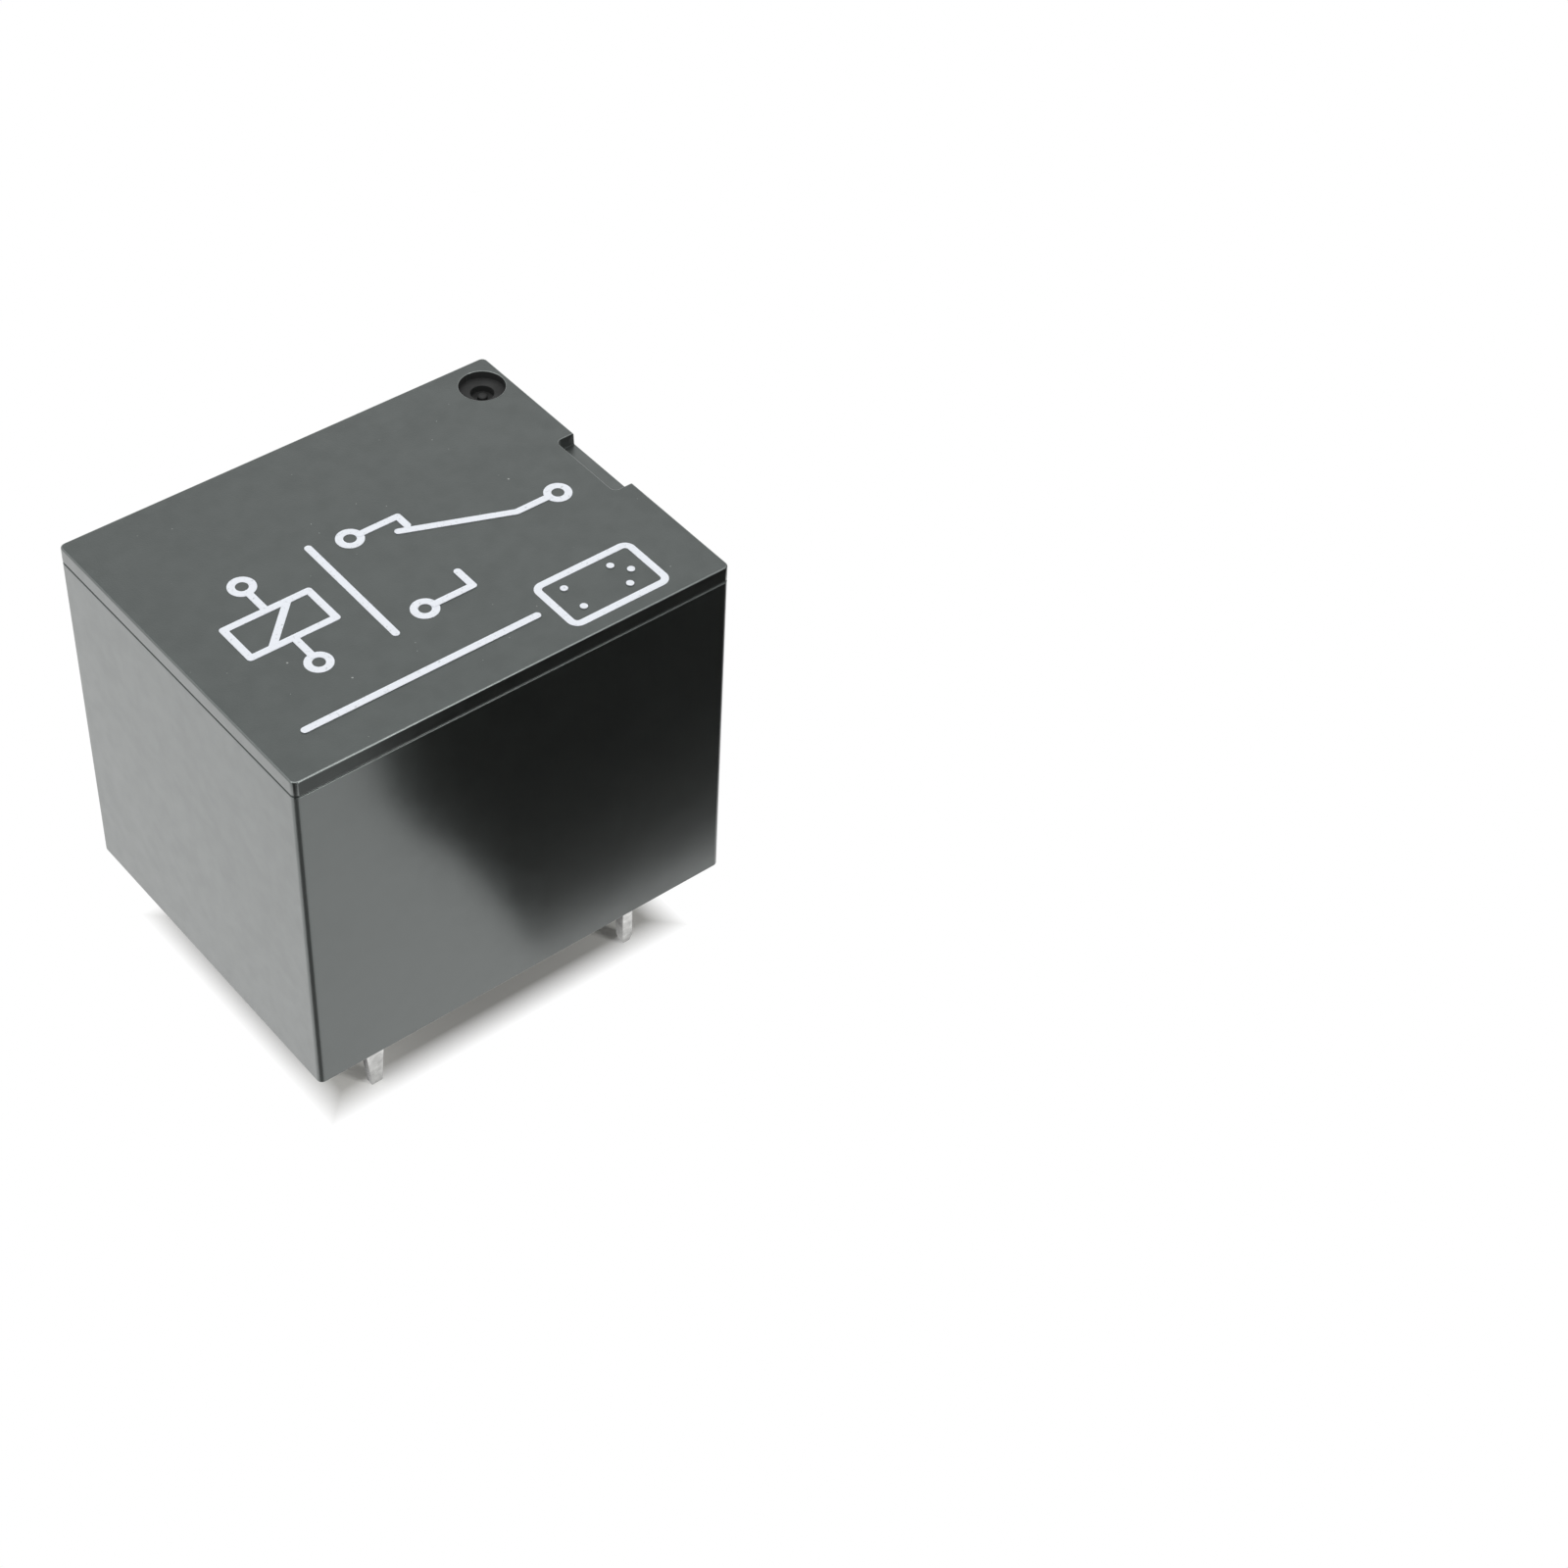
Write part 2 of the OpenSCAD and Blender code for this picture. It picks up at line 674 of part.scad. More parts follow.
module contact_spring() {
  bend_x = yoke_back - spring_bend_r;
  bend_z = spring_z - spring_bend_r;
  low = yoke_rivet_z - common_plate / 2;
  tip_x = contact_x - spring_tip_w / 2;
  color("#c58a4a") difference() {
    intersection() {
      stand_x(spring_w) {
        translate([yoke_back, low]) square([spring_t, bend_z - low]);
        translate([bend_x, bend_z]) bend_section(spring_bend_r, spring_t);
        translate([tip_x, spring_z]) square([bend_x - tip_x, spring_t]);
      }
      translate([0, 0, low]) linear_extrude(spring_top - low) spring_plan();
    }
    translate([contact_x, 0, spring_z - cut]) cylinder(d = shank_d + 2 * rivet_clear, h = spring_t + 2 * cut);
    for (s = [-1, 1]) {
      translate([armature_rivet_x, s * rivet_pitch / 2, spring_z - cut])
        cylinder(d = rivet_d + 2 * rivet_clear, h = spring_t + 2 * cut);
      translate([yoke_back - cut, s * rivet_pitch / 2, yoke_rivet_z]) rotate([0, 90, 0])
        cylinder(d = rivet_d + 2 * rivet_clear, h = spring_t + 2 * cut);
    }
  }
}

module moving_contact() {
  color("#d8d8d4") translate([contact_x, 0, 0]) {
    translate([0, 0, spring_top]) domed_head(moving_d, moving_h);
    translate([0, 0, spring_z]) cylinder(d = shank_d, h = spring_t);
    translate([0, 0, spring_z]) mirror([0, 0, 1]) domed_head(moving_d, moving_h);
  }
}

cover();
base();
sealing_resin();
bobbin();
coil_winding();
solder_joint(-1);  // solder_joint_a
solder_joint(1);  // solder_joint_b
core();
yoke();
yoke_rivets();
common_terminal();
no_terminal();
no_contact();
nc_terminal();
nc_contact();
coil_pin(-1);  // coil_pin_a
coil_pin(1);  // coil_pin_b
armature();
armature_rivets();
contact_spring();
moving_contact();
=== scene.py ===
"""Dresses a sealed changeover power relay for a circuit board and sets it on a pale studio floor.

Lengths in the classes are in millimetres, and every mesh is made in metres in the relay's own frame:
z = 0 is the plane of the board, +X runs to the end with the common pin, and +Y to the side with the vent.
"""
import logging
import math
from dataclasses import dataclass, field
from enum import Enum
from typing import Iterable, Sequence

import bmesh
import bpy
from mathutils import Matrix, Vector


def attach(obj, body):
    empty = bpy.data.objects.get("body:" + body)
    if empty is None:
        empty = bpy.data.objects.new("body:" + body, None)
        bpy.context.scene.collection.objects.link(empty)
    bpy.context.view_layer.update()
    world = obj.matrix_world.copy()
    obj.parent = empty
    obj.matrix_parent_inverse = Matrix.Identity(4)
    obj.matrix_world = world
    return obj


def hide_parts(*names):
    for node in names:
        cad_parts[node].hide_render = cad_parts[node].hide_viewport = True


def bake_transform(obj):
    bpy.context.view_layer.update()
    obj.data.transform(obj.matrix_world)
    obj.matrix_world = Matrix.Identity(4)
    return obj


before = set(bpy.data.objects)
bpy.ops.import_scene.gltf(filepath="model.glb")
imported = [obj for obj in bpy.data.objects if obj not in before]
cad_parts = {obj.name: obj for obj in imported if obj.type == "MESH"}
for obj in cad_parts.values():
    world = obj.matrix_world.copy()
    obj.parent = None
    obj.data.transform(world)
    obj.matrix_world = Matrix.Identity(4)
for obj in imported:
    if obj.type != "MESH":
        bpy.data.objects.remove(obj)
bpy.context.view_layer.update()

MM = 0.001
LOG = logging.getLogger("relay")

Colour = tuple[float, float, float]
Point = tuple[float, float, float]
Flat = tuple[float, float]
Spans = tuple[Flat, Flat]
Links = dict[str | int, object]
BMesh = bmesh.types.BMesh
Material = bpy.types.Material
Mesh = bpy.types.Mesh
Node = bpy.types.Node
Piece = bpy.types.Object
Socket = bpy.types.NodeSocket

MIDDLE: Flat = (0.3, 0.7)  # the span that most of a noise lies in
WELD = 2e-7  # points of a solid that lie closer than this, in metres, are one
CLOSE = 1e-6  # points of a turned shape that lie closer than this, in millimetres, are one
FLAT_DEGREES = 0.6  # faces of a solid that meet at less than this are one
SHARP_DEGREES = 40.0  # edges of a recipe's mesh that are sharper than this stay sharp
FACE_WEIGHT = 90  # how much large faces count in the normals


class Body(Enum):
    """The two bodies that the pieces ride on."""

    HOUSING = "housing"
    ARMATURE = "armature"


class Side(Enum):
    """The two sides of the relay along Y."""

    A = -1
    B = 1


class Skin(Enum):
    """The finishes of the cover, by their place among its material slots."""

    SIDES = 0
    ROOF = 1
    BASE = 2
    RECESS = 3


# Materials


class NodeBench:
    """A tree of nodes under construction."""

    prefix = "ShaderNode"

    def __init__(self, tree: bpy.types.NodeTree) -> None:
        """Takes up a tree."""
        self.tree = tree

    def add(self, kind: str, links: Links | None = None, **settings: object) -> Node:
        """Adds a node and feeds its inputs.

        Args:
            kind: Type of the node, without its prefix.
            links: Sockets or plain values by the names or numbers of the inputs.
            settings: Properties of the node.

        Returns:
            The node.
        """
        node = self.tree.nodes.new(f"{self.prefix}{kind}")
        for key, value in settings.items():
            setattr(node, key, value)
        self.fill(node, links or {})
        return node

    def fill(self, node: Node, links: Links) -> None:
        """Feeds the inputs of a node.

        Args:
            node: The node.
            links: Sockets or plain values by the names or numbers of the inputs.
        """
        for key, value in links.items():
            if isinstance(value, Socket):
                self.tree.links.new(value, node.inputs[key])
            else:
                node.inputs[key].default_value = value


class ShaderBench(NodeBench):
    """A tree of shader nodes under construction."""

    def calc(self, operation: str, *terms: Socket | float) -> Socket:
        """Reckons with sockets and plain numbers, by Blender's name of the operation."""
        return self.add("Math", dict(enumerate(terms)), operation=operation).outputs["Value"]

    def mix(self, share: Socket, first: Socket, second: Socket) -> Socket:
        """Mixes two shaders by the share of the second."""
        return self.add("MixShader", {0: share, 1: first, 2: second}).outputs["Shader"]

    def remap(self, value: Socket, source: Flat, target: Flat) -> Socket:
        """Maps a value from one span to another, and holds it at the ends."""
        ends = zip(("From Min", "From Max", "To Min", "To Max"), (*source, *target))
        return self.add("MapRange", {"Value": value, **dict(ends)}).outputs["Result"]

    def fade(self, place: Socket, spans: Spans) -> Socket:
        """Maps a place in metres from a span in millimetres to a span of levels."""
        return self.remap(place, tuple(d * MM for d in spans[0]), spans[1])

    def seen_by(self, *kinds: str) -> Socket:
        """Tells whether a ray is of one of some kinds.

        Args:
            kinds: Kinds of rays, such as Glossy.

        Returns:
            1 if it is, 0 if not.
        """
        rays = self.add("LightPath").outputs
        seen = rays[f"Is {kinds[0]} Ray"]
        for kind in kinds[1:]:
            seen = self.calc("MAXIMUM", seen, rays[f"Is {kind} Ray"])
        return seen


class MaterialBench(ShaderBench):
    """A material under construction, with its shader and its object coordinates."""

    def __init__(self, name: str) -> None:
        """Starts a material with one principled shader.

        Args:
            name: Name of the material.
        """
        self.material = bpy.data.materials.new(name)
        self.material.use_nodes = True
        super().__init__(self.material.node_tree)
        self.shader = self.tree.nodes["Principled BSDF"]
        self.place = self.add("TexCoord").outputs["Object"]

    def set(self, **links: object) -> None:
        """Feeds the shader, with underscores for the spaces in the names of its inputs."""
        self.fill(self.shader, {key.replace("_", " "): value for key, value in links.items()})

    def axes(self) -> Node:
        """Parts the object's coordinates into X, Y and Z."""
        return self.add("SeparateXYZ", {"Vector": self.place})

    def noise(self, size: float, detail: float = 2.0, stretch: Point = (1, 1, 1)) -> Socket:
        """Makes a noise on the object's coordinates.

        Args:
            size: Size of the noise's features in millimetres.
            detail: Octaves of finer noise.
            stretch: Length of the features along each axis, as a multiple of size.

        Returns:
            The noise's value, about 0.5 on average.
        """
        scale = [1 / (size * MM * s) for s in stretch]
        place = self.add("Mapping", {"Vector": self.place, "Scale": scale}).outputs["Vector"]
        return self.add("TexNoise", {"Vector": place, "Scale": 1, "Detail": detail}).outputs["Fac"]

    def tint(self, share: Socket, low: Socket | Colour, high: Colour) -> Socket:
        """Mixes two colours, of which the first may be varied, by the share of the second."""
        first = low if isinstance(low, Socket) else (*low, 1)
        return self.add("Mix", {"Factor": share, "A": first, "B": (*high, 1)}, data_type="RGBA").outputs["Result"]

    def mottle(self, noise: Socket, span: Flat, colour: Colour, shades: Flat) -> Socket:
        """Varies a colour between two multiples of its brightness, by a noise that runs over a span."""
        return self.tint(self.remap(noise, span, (0, 1)), *(shade(colour, factor) for factor in shades))

    def relief(self, layers: Sequence[tuple[Socket, float]]) -> None:
        """Gives the shader a bump from one or more heights.

        Args:
            layers: Heights, each with its depth in millimetres.
        """
        normal = None
        for height, depth in layers:
            bump = self.add("Bump", {"Strength": 1, "Distance": depth * MM, "Height": height})
            if normal is not None:
                self.fill(bump, {"Normal": normal})
            normal = bump.outputs["Normal"]
        self.set(Normal=normal, Coat_Normal=normal)


def shade(colour: Colour, factor: float) -> Colour:
    """Makes a linear colour darker or lighter by a factor."""
    return tuple(min(1.0, c * factor) for c in colour)


@dataclass(frozen=True)
class MouldedPlastic:
    """Moulded plastic with a spark-eroded or polished skin. Grain, patches, specks and waves have sizes."""

    name: str
    colour: Colour
    roughness: Flat
    grain: float
    grain_depth: float
    coat: float = 0.0
    coat_roughness: float = 0.3
    wave_depth: float = 0.0
    dust: float = 0.0
    ior: float = 1.5
    gloss_tint: Colour = (1.0, 1.0, 1.0)
    patch: float = 2.6
    shades: Flat = (0.9, 1.1)
    handled: float = 0.7
    handled_span: Flat = (0.32, 0.68)
    speck: float = 0.2
    speck_span: Flat = (0.87, 0.9)
    dust_tone: Colour = (0.55, 0.55, 0.53)
    wave: float = 3.4

    def build(self) -> Material:
        """Makes the material."""
        bench = MaterialBench(self.name)
        tone = bench.mottle(bench.noise(self.patch, 1), MIDDLE, self.colour, self.shades)
        if self.dust:
            specks = bench.remap(bench.noise(self.speck, 0), self.speck_span, (0, self.dust))
            tone = bench.tint(specks, tone, self.dust_tone)
        rough = bench.remap(bench.noise(self.handled), self.handled_span, self.roughness)
        bench.set(Base_Color=tone, Roughness=rough)
        layers = [(bench.noise(self.grain, 1), self.grain_depth)]
        if self.wave_depth:
            layers.append((bench.noise(self.wave, 1), self.wave_depth))
        bench.relief(layers)
        bench.set(Coat_Weight=self.coat, Coat_Roughness=self.coat_roughness, IOR=self.ior, Coat_IOR=self.ior)
        bench.set(Specular_Tint=(*self.gloss_tint, 1.0))
        return bench.material


@dataclass(frozen=True)
class CastResin:
    """Cast sealing resin: dull, with slow waves, clouds and a few fine pits, each of a size and a depth."""

    name: str
    colour: Colour
    shades: Flat = (0.6, 1.5)
    roughness: Flat = (0.28, 0.5)
    rough_span: Flat = (0.3, 0.75)
    waves: Flat = (1.9, 0.04)
    clouds: Flat = (0.9, 0.02)
    pits: Flat = (0.12, 0.006)
    pit_span: Flat = (0.7, 0.78)

    def build(self) -> Material:
        """Makes the material."""
        bench = MaterialBench(self.name)
        slow = bench.noise(self.waves[0], 1)
        cloud = bench.noise(self.clouds[0], 5)
        pits = bench.remap(bench.noise(self.pits[0], 1), self.pit_span, (1, 0))
        tone = bench.mottle(cloud, MIDDLE, self.colour, self.shades)
        bench.set(Base_Color=tone, Roughness=bench.remap(cloud, self.rough_span, self.roughness))
        bench.relief([(slow, self.waves[1]), (cloud, self.clouds[1]), (pits, self.pits[1])])
        return bench.material


@dataclass(frozen=True)
class PlatedMetal:
    """Rolled or turned metal with fine streaks, of a size and a depth, and dull patches."""

    name: str
    colour: Colour
    dull: Colour
    roughness: Flat
    stretch: Point = (1, 1, 1)
    streaks: Flat = (0.05, 0.0015)
    patch: float = 0.8
    patch_span: Flat = (0.42, 0.72)
    dullness: float = 0.5

    def build(self) -> Material:
        """Makes the material."""
        bench = MaterialBench(self.name)
        streaks = bench.noise(self.streaks[0], 2, self.stretch)
        patches = bench.remap(bench.noise(self.patch, 4), self.patch_span, (0, self.dullness))
        tone = bench.tint(patches, self.colour, self.dull)
        bench.set(Base_Color=tone, Roughness=bench.remap(streaks, MIDDLE, self.roughness))
        bench.relief([(streaks, self.streaks[1])])
        bench.set(Metallic=1.0)
        return bench.material


@dataclass(frozen=True)
class DippedPin:
    """Terminal strip with a dull root and an end that was dipped in solder, up to a ragged line.

    The ragged line, the streaks and the lumps have a size and a height or depth.
    """

    name: str
    bright: Colour
    dull: Colour
    dip: Flat
    roughness: Flat = (0.2, 0.42)
    ragged: Flat = (0.5, 1.2)
    patch: float = 0.35
    patch_span: Flat = (0.35, 0.7)
    shades: Flat = (1.0, 0.72)
    streaks: Flat = (0.05, 0.0015)
    stretch: Point = (1, 1, 14)
    lumps: Flat = (0.3, 0.02)

    def build(self) -> Material:
        """Makes the material."""
        bench = MaterialBench(self.name)
        level = bench.axes().outputs["Z"]
        line = bench.calc("MULTIPLY_ADD", bench.noise(self.ragged[0]), self.ragged[1] * MM, level)
        root = bench.fade(line, (self.dip, (0, 1)))
        tone = bench.mottle(bench.noise(self.patch, 3), self.patch_span, self.bright, self.shades)
        bench.set(Base_Color=bench.tint(root, tone, self.dull), Roughness=bench.remap(root, (0, 1), self.roughness))
        streaks = bench.noise(self.streaks[0], 2, self.stretch)
        bench.relief([(streaks, self.streaks[1]), (bench.noise(self.lumps[0], 1), self.lumps[1])])
        bench.set(Metallic=1.0)
        return bench.material


@dataclass(frozen=True)
class EnamelledWire:
    """Copper wire under clear enamel."""

    name: str
    colour: Colour
    patch: float = 1.2
    shades: Flat = (0.75, 1.2)
    roughness: Flat = (0.26, 0.4)
    metal: float = 0.85
    enamel: float = 0.8
    enamel_roughness: float = 0.12

    def build(self) -> Material:
        """Makes the material."""
        bench = MaterialBench(self.name)
        patches = bench.noise(self.patch, 3)
        tone = bench.mottle(patches, MIDDLE, self.colour, self.shades)
        bench.set(Base_Color=tone, Roughness=bench.remap(patches, MIDDLE, self.roughness))
        bench.set(Metallic=self.metal, Coat_Weight=self.enamel, Coat_Roughness=self.enamel_roughness)
        return bench.material


@dataclass(frozen=True)
class PrintInk:
    """Pad-printed ink with thin spots and a grain of a size and a depth."""

    name: str
    colour: Colour
    thin: Colour
    spot: float = 0.14
    spot_span: Flat = (0.6, 0.78)
    thinnest: float = 0.7
    roughness: Flat = (0.5, 0.65)
    grain: Flat = (0.09, 0.004)

    def build(self) -> Material:
        """Makes the material."""
        bench = MaterialBench(self.name)
        spots = bench.remap(bench.noise(self.spot, 3), self.spot_span, (0, self.thinnest))
        rough = bench.remap(spots, (0, self.thinnest), self.roughness)
        bench.set(Base_Color=bench.tint(spots, self.colour, self.thin), Roughness=rough)
        bench.relief([(bench.noise(self.grain[0]), self.grain[1])])
        return bench.material


class Finishes:
    """All finishes of the relay, each made once."""

    def __init__(self) -> None:
        """Makes the materials."""
        black = (0.0105, 0.0112, 0.0108)
        cool = (0.86, 1.0, 0.96)
        self.sides = MouldedPlastic(
            "satin_black_sides", black, roughness=(0.3, 0.38), grain=0.05, grain_depth=0.0012,
            coat=1.0, coat_roughness=0.28, wave_depth=0.02, ior=1.78, gloss_tint=(0.82, 1.0, 0.95),
        ).build()
        self.roof = MouldedPlastic(
            "eroded_black_roof", (0.0155, 0.0172, 0.0168), roughness=(0.5, 0.58), grain=0.06, grain_depth=0.005,
            coat=0.35, coat_roughness=0.52, dust=0.4, gloss_tint=cool,
        ).build()
        self.base = MouldedPlastic(
            "satin_black_base", black, roughness=(0.36, 0.48), grain=0.07, grain_depth=0.002,
            coat=0.35, coat_roughness=0.36, wave_depth=0.015, gloss_tint=cool,
        ).build()
        # The vent's recess is duller, and its colour is darkened to 0.7 by painted shade.
        self.recess = MouldedPlastic(
            "dull_black_recess", shade(black, 0.7), roughness=(0.6, 0.7), grain=0.06, grain_depth=0.004, ior=1.4
        ).build()
        self.resin = CastResin("cast_dark_resin", (0.03, 0.032, 0.032)).build()
        self.ink = PrintInk("white_ink", (0.76, 0.79, 0.84), thin=(0.33, 0.35, 0.36)).build()
        self.tinned = DippedPin("tinned_strip", (0.84, 0.84, 0.82), dull=(0.36, 0.35, 0.32), dip=(-1.0, -0.3)).build()
        self.iron = PlatedMetal(
            "nickel_plated_iron", (0.6, 0.6, 0.59), dull=(0.36, 0.35, 0.34), roughness=(0.3, 0.46), stretch=(6, 1, 6)
        ).build()
        self.rivet = PlatedMetal(
            "plated_rivet", (0.66, 0.66, 0.65), dull=(0.42, 0.41, 0.4), roughness=(0.26, 0.4)
        ).build()
        self.silver = PlatedMetal(
            "silver_contact", (0.86, 0.85, 0.82), dull=(0.56, 0.54, 0.5), roughness=(0.22, 0.36)
        ).build()
        self.bronze = PlatedMetal(
            "rolled_bronze", (0.66, 0.42, 0.2), dull=(0.4, 0.24, 0.11), roughness=(0.24, 0.38), stretch=(16, 1, 1)
        ).build()
        self.solder = PlatedMetal(
            "bright_solder", (0.76, 0.76, 0.77), dull=(0.5, 0.5, 0.5), roughness=(0.14, 0.3)
        ).build()
        self.bobbin = MouldedPlastic(
            "cream_bobbin", (0.6, 0.56, 0.45), roughness=(0.4, 0.52), grain=0.08, grain_depth=0.002, wave_depth=0.02
        ).build()
        self.wire = EnamelledWire("enamelled_copper", (0.72, 0.27, 0.1)).build()


# Meshes


def new_piece(name: str, mesh: Mesh, *materials: Material) -> Piece:
    """Links a mesh to the scene as an object at the origin.

    Args:
        name: Name of the object.
        mesh: Its mesh, in metres.
        materials: Its material slots in order.

    Returns:
        The object.
    """
    for material in materials:
        mesh.materials.append(material)
    piece = bpy.data.objects.new(name, mesh)
    bpy.context.scene.collection.objects.link(piece)
    return piece


def finish_mesh(name: str, work: BMesh) -> Mesh:
    """Turns a bmesh in millimetres into a mesh in metres.

    Args:
        name: Name of the mesh.
        work: The bmesh, which is freed.

    Returns:
        The mesh.
    """
    bmesh.ops.recalc_face_normals(work, faces=work.faces)
    bmesh.ops.scale(work, vec=(MM, MM, MM), verts=work.verts)
    mesh = bpy.data.meshes.new(name)
    work.to_mesh(mesh)
    work.free()
    return mesh


def bake(piece: Piece) -> Piece:
    """Turns a piece's modifiers into plain mesh.

    Args:
        piece: The piece, with its modifiers.

    Returns:
        The same piece, without modifiers.
    """
    graph = bpy.context.evaluated_depsgraph_get()
    mesh = bpy.data.meshes.new_from_object(piece.evaluated_get(graph), preserve_all_data_layers=True, depsgraph=graph)
    piece.modifiers.clear()
    old, piece.data = piece.data, mesh
    bpy.data.meshes.remove(old)
    mesh.name = piece.name
    return piece


def soften(piece: Piece, width: float, segments: int = 2, angle: float = 38.0) -> Piece:
    """Rounds the sharp edges of a piece a little and smooths the rest.

    Args:
        piece: The piece.
        width: Width of the rounded edges in millimetres.
        segments: Steps across a rounded edge.
        angle: Edges sharper than this many degrees are rounded.

    Returns:
        The same piece, with plain mesh.
    """
    piece.data.shade_smooth()
    bevel = piece.modifiers.new("edges", "BEVEL")
    bevel.width = width * MM
    bevel.segments = segments
    bevel.limit_method = "ANGLE"
    bevel.angle_limit = math.radians(angle)
    bevel.miter_outer = "MITER_ARC"
    weights = piece.modifiers.new("normals", "WEIGHTED_NORMAL")
    weights.weight = FACE_WEIGHT
    weights.keep_sharp = True
    return bake(piece)


def discard(piece: Piece) -> None:
    """Removes a piece and its mesh.

    Args:
        piece: The piece.
    """
    mesh = piece.data
    bpy.data.objects.remove(piece)
    bpy.data.meshes.remove(mesh)


def carve(piece: Piece, cutters: Iterable[Mesh]) -> Piece:
    """Cuts closed shapes out of a piece.

    Args:
        piece: The piece to cut.
        cutters: Closed meshes, which are used up.

    Returns:
        The same piece, with plain mesh.
    """
    tools = [new_piece(f"{piece.name}_tool_{i}", mesh) for i, mesh in enumerate(cutters)]
    for tool in tools:
        cut = piece.modifiers.new("cut", "BOOLEAN")
        cut.operation = "DIFFERENCE"
        cut.solver = "EXACT"
        cut.object = tool
    bake(piece)
    for tool in tools:
        discard(tool)
    return piece


def quarter(steps: int) -> list[Flat]:
    """Cosine and sine at even steps through a quarter turn."""
    turns = [math.radians(90 * step / steps) for step in range(steps + 1)]
    return [(math.cos(turn), math.sin(turn)) for turn in turns]


def round_outline(length: float, width: float, radius: float, steps: int = 10) -> list[Flat]:
    """Points of a rectangle with round corners, counter-clockwise.

    Args:
        length: Size along X.
        width: Size along Y.
        radius: Radius of the corners.
        steps: Steps around each corner.

    Returns:
        The points.
    """
    points = []
    for corner, (sx, sy) in enumerate(((1, 1), (-1, 1), (-1, -1), (1, -1))):
        for step in range(steps + 1):
            turn = math.radians(90 * (corner + step / steps))
            points.append((
                sx * (length / 2 - radius) + radius * math.cos(turn),
                sy * (width / 2 - radius) + radius * math.sin(turn),
            ))
    return points


def loft(rings: Sequence[Sequence[Point]]) -> BMesh:
    """Joins rings of equal count with quads and closes both ends.

    Args:
        rings: Closed rings of points, in order.

    Returns:
        The closed shape.
    """
    work = bmesh.new()
    made = [[work.verts.new(point) for point in ring] for ring in rings]
    for low, high in zip(made, made[1:]):
        for i in range(len(low)):
            j = (i + 1) % len(low)
            work.faces.new((low[i], low[j], high[j], high[i]))
    work.faces.new(reversed(made[0]))
    work.faces.new(made[-1])
    return work


def prism(outline: Sequence[Flat], low: float, high: float, at: Flat) -> BMesh:
    """Extrudes an outline upright between two levels, with its own origin at a place."""
    return loft([[(x + at[0], y + at[1], z) for x, y in outline] for z in (low, high)])


def lathe(profile: Sequence[Flat], at: Flat = (0, 0), steps: int = 48) -> BMesh:
    """Turns a profile of radii and levels about an upright axis.

    Args:
        profile: Radius and level of each step. A closed tube repeats its first step at the end.
        at: Place of the axis.
        steps: Steps around the axis.

    Returns:
        The turned shape, closed at both ends or round on itself.
    """
    rings = [
        [
            (at[0] + r * math.cos(2 * math.pi * i / steps), at[1] + r * math.sin(2 * math.pi * i / steps), z)
            for i in range(steps)
        ]
        for r, z in profile
    ]
    work = loft(rings)
    if profile[0] == profile[-1]:
        caps = [face for face in work.faces if len(face.verts) == steps]
        bmesh.ops.delete(work, geom=caps, context="FACES_ONLY")
        bmesh.ops.remove_doubles(work, verts=work.verts, dist=CLOSE)
    return work


def node_copy(name: str, node: str, material: Material) -> Piece:
    """Copies a solid's mesh, merged and with its flat faces joined.

    Args:
        name: Name of the new piece.
        node: Name of the solid.
        material: Finish of the piece.

    Returns:
        The new piece.
    """
    work = bmesh.new()
    work.from_mesh(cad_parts[node].data)
    bmesh.ops.remove_doubles(work, verts=work.verts, dist=WELD)
    bmesh.ops.dissolve_limit(
        work, angle_limit=math.radians(FLAT_DEGREES), verts=work.verts, edges=work.edges, use_dissolve_boundaries=False
    )
    mesh = bpy.data.meshes.new(name)
    work.to_mesh(mesh)
    work.free()
    mesh.materials.clear()
    return new_piece(name, mesh, material)


def settle(piece: Piece, body: Body, node: str | None = None) -> None:
    """Puts a finished piece on its body, in place of its solid."""
    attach(piece, body.value)
    report(piece, node)


def report(piece: Piece, node: str | None) -> None:
    """Hides the solid that a piece stands for, and logs the piece.

    Args:
        piece: The piece.
        node: The solid that it stands for.
    """
    if node:
        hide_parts(node)
    LOG.info("%s: %d faces", piece.name, len(piece.data.polygons))


def dress_copy(
    name: str, node: str, material: Material, edge: float, segments: int = 2,
    body: Body = Body.HOUSING,
) -> None:
    """Puts a copy of a solid with rounded edges in place of the solid: its name, finish and edge width."""
    settle(soften(node_copy(name, node, material), edge, segments), body, node)


def sheet(name: str, corners: Sequence[Point], material: Material) -> Piece:
    """Makes a piece with one flat face.

    Args:
        name: Name of the piece.
        corners: Corners of the face in millimetres.
        material: Its finish.

    Returns:
        The piece.
    """
    mesh = bpy.data.meshes.new(name)
    mesh.from_pydata([tuple(c * MM for c in corner) for corner in corners], [], [tuple(range(len(corners)))])
    return new_piece(name, mesh, material)


# Geometry Nodes


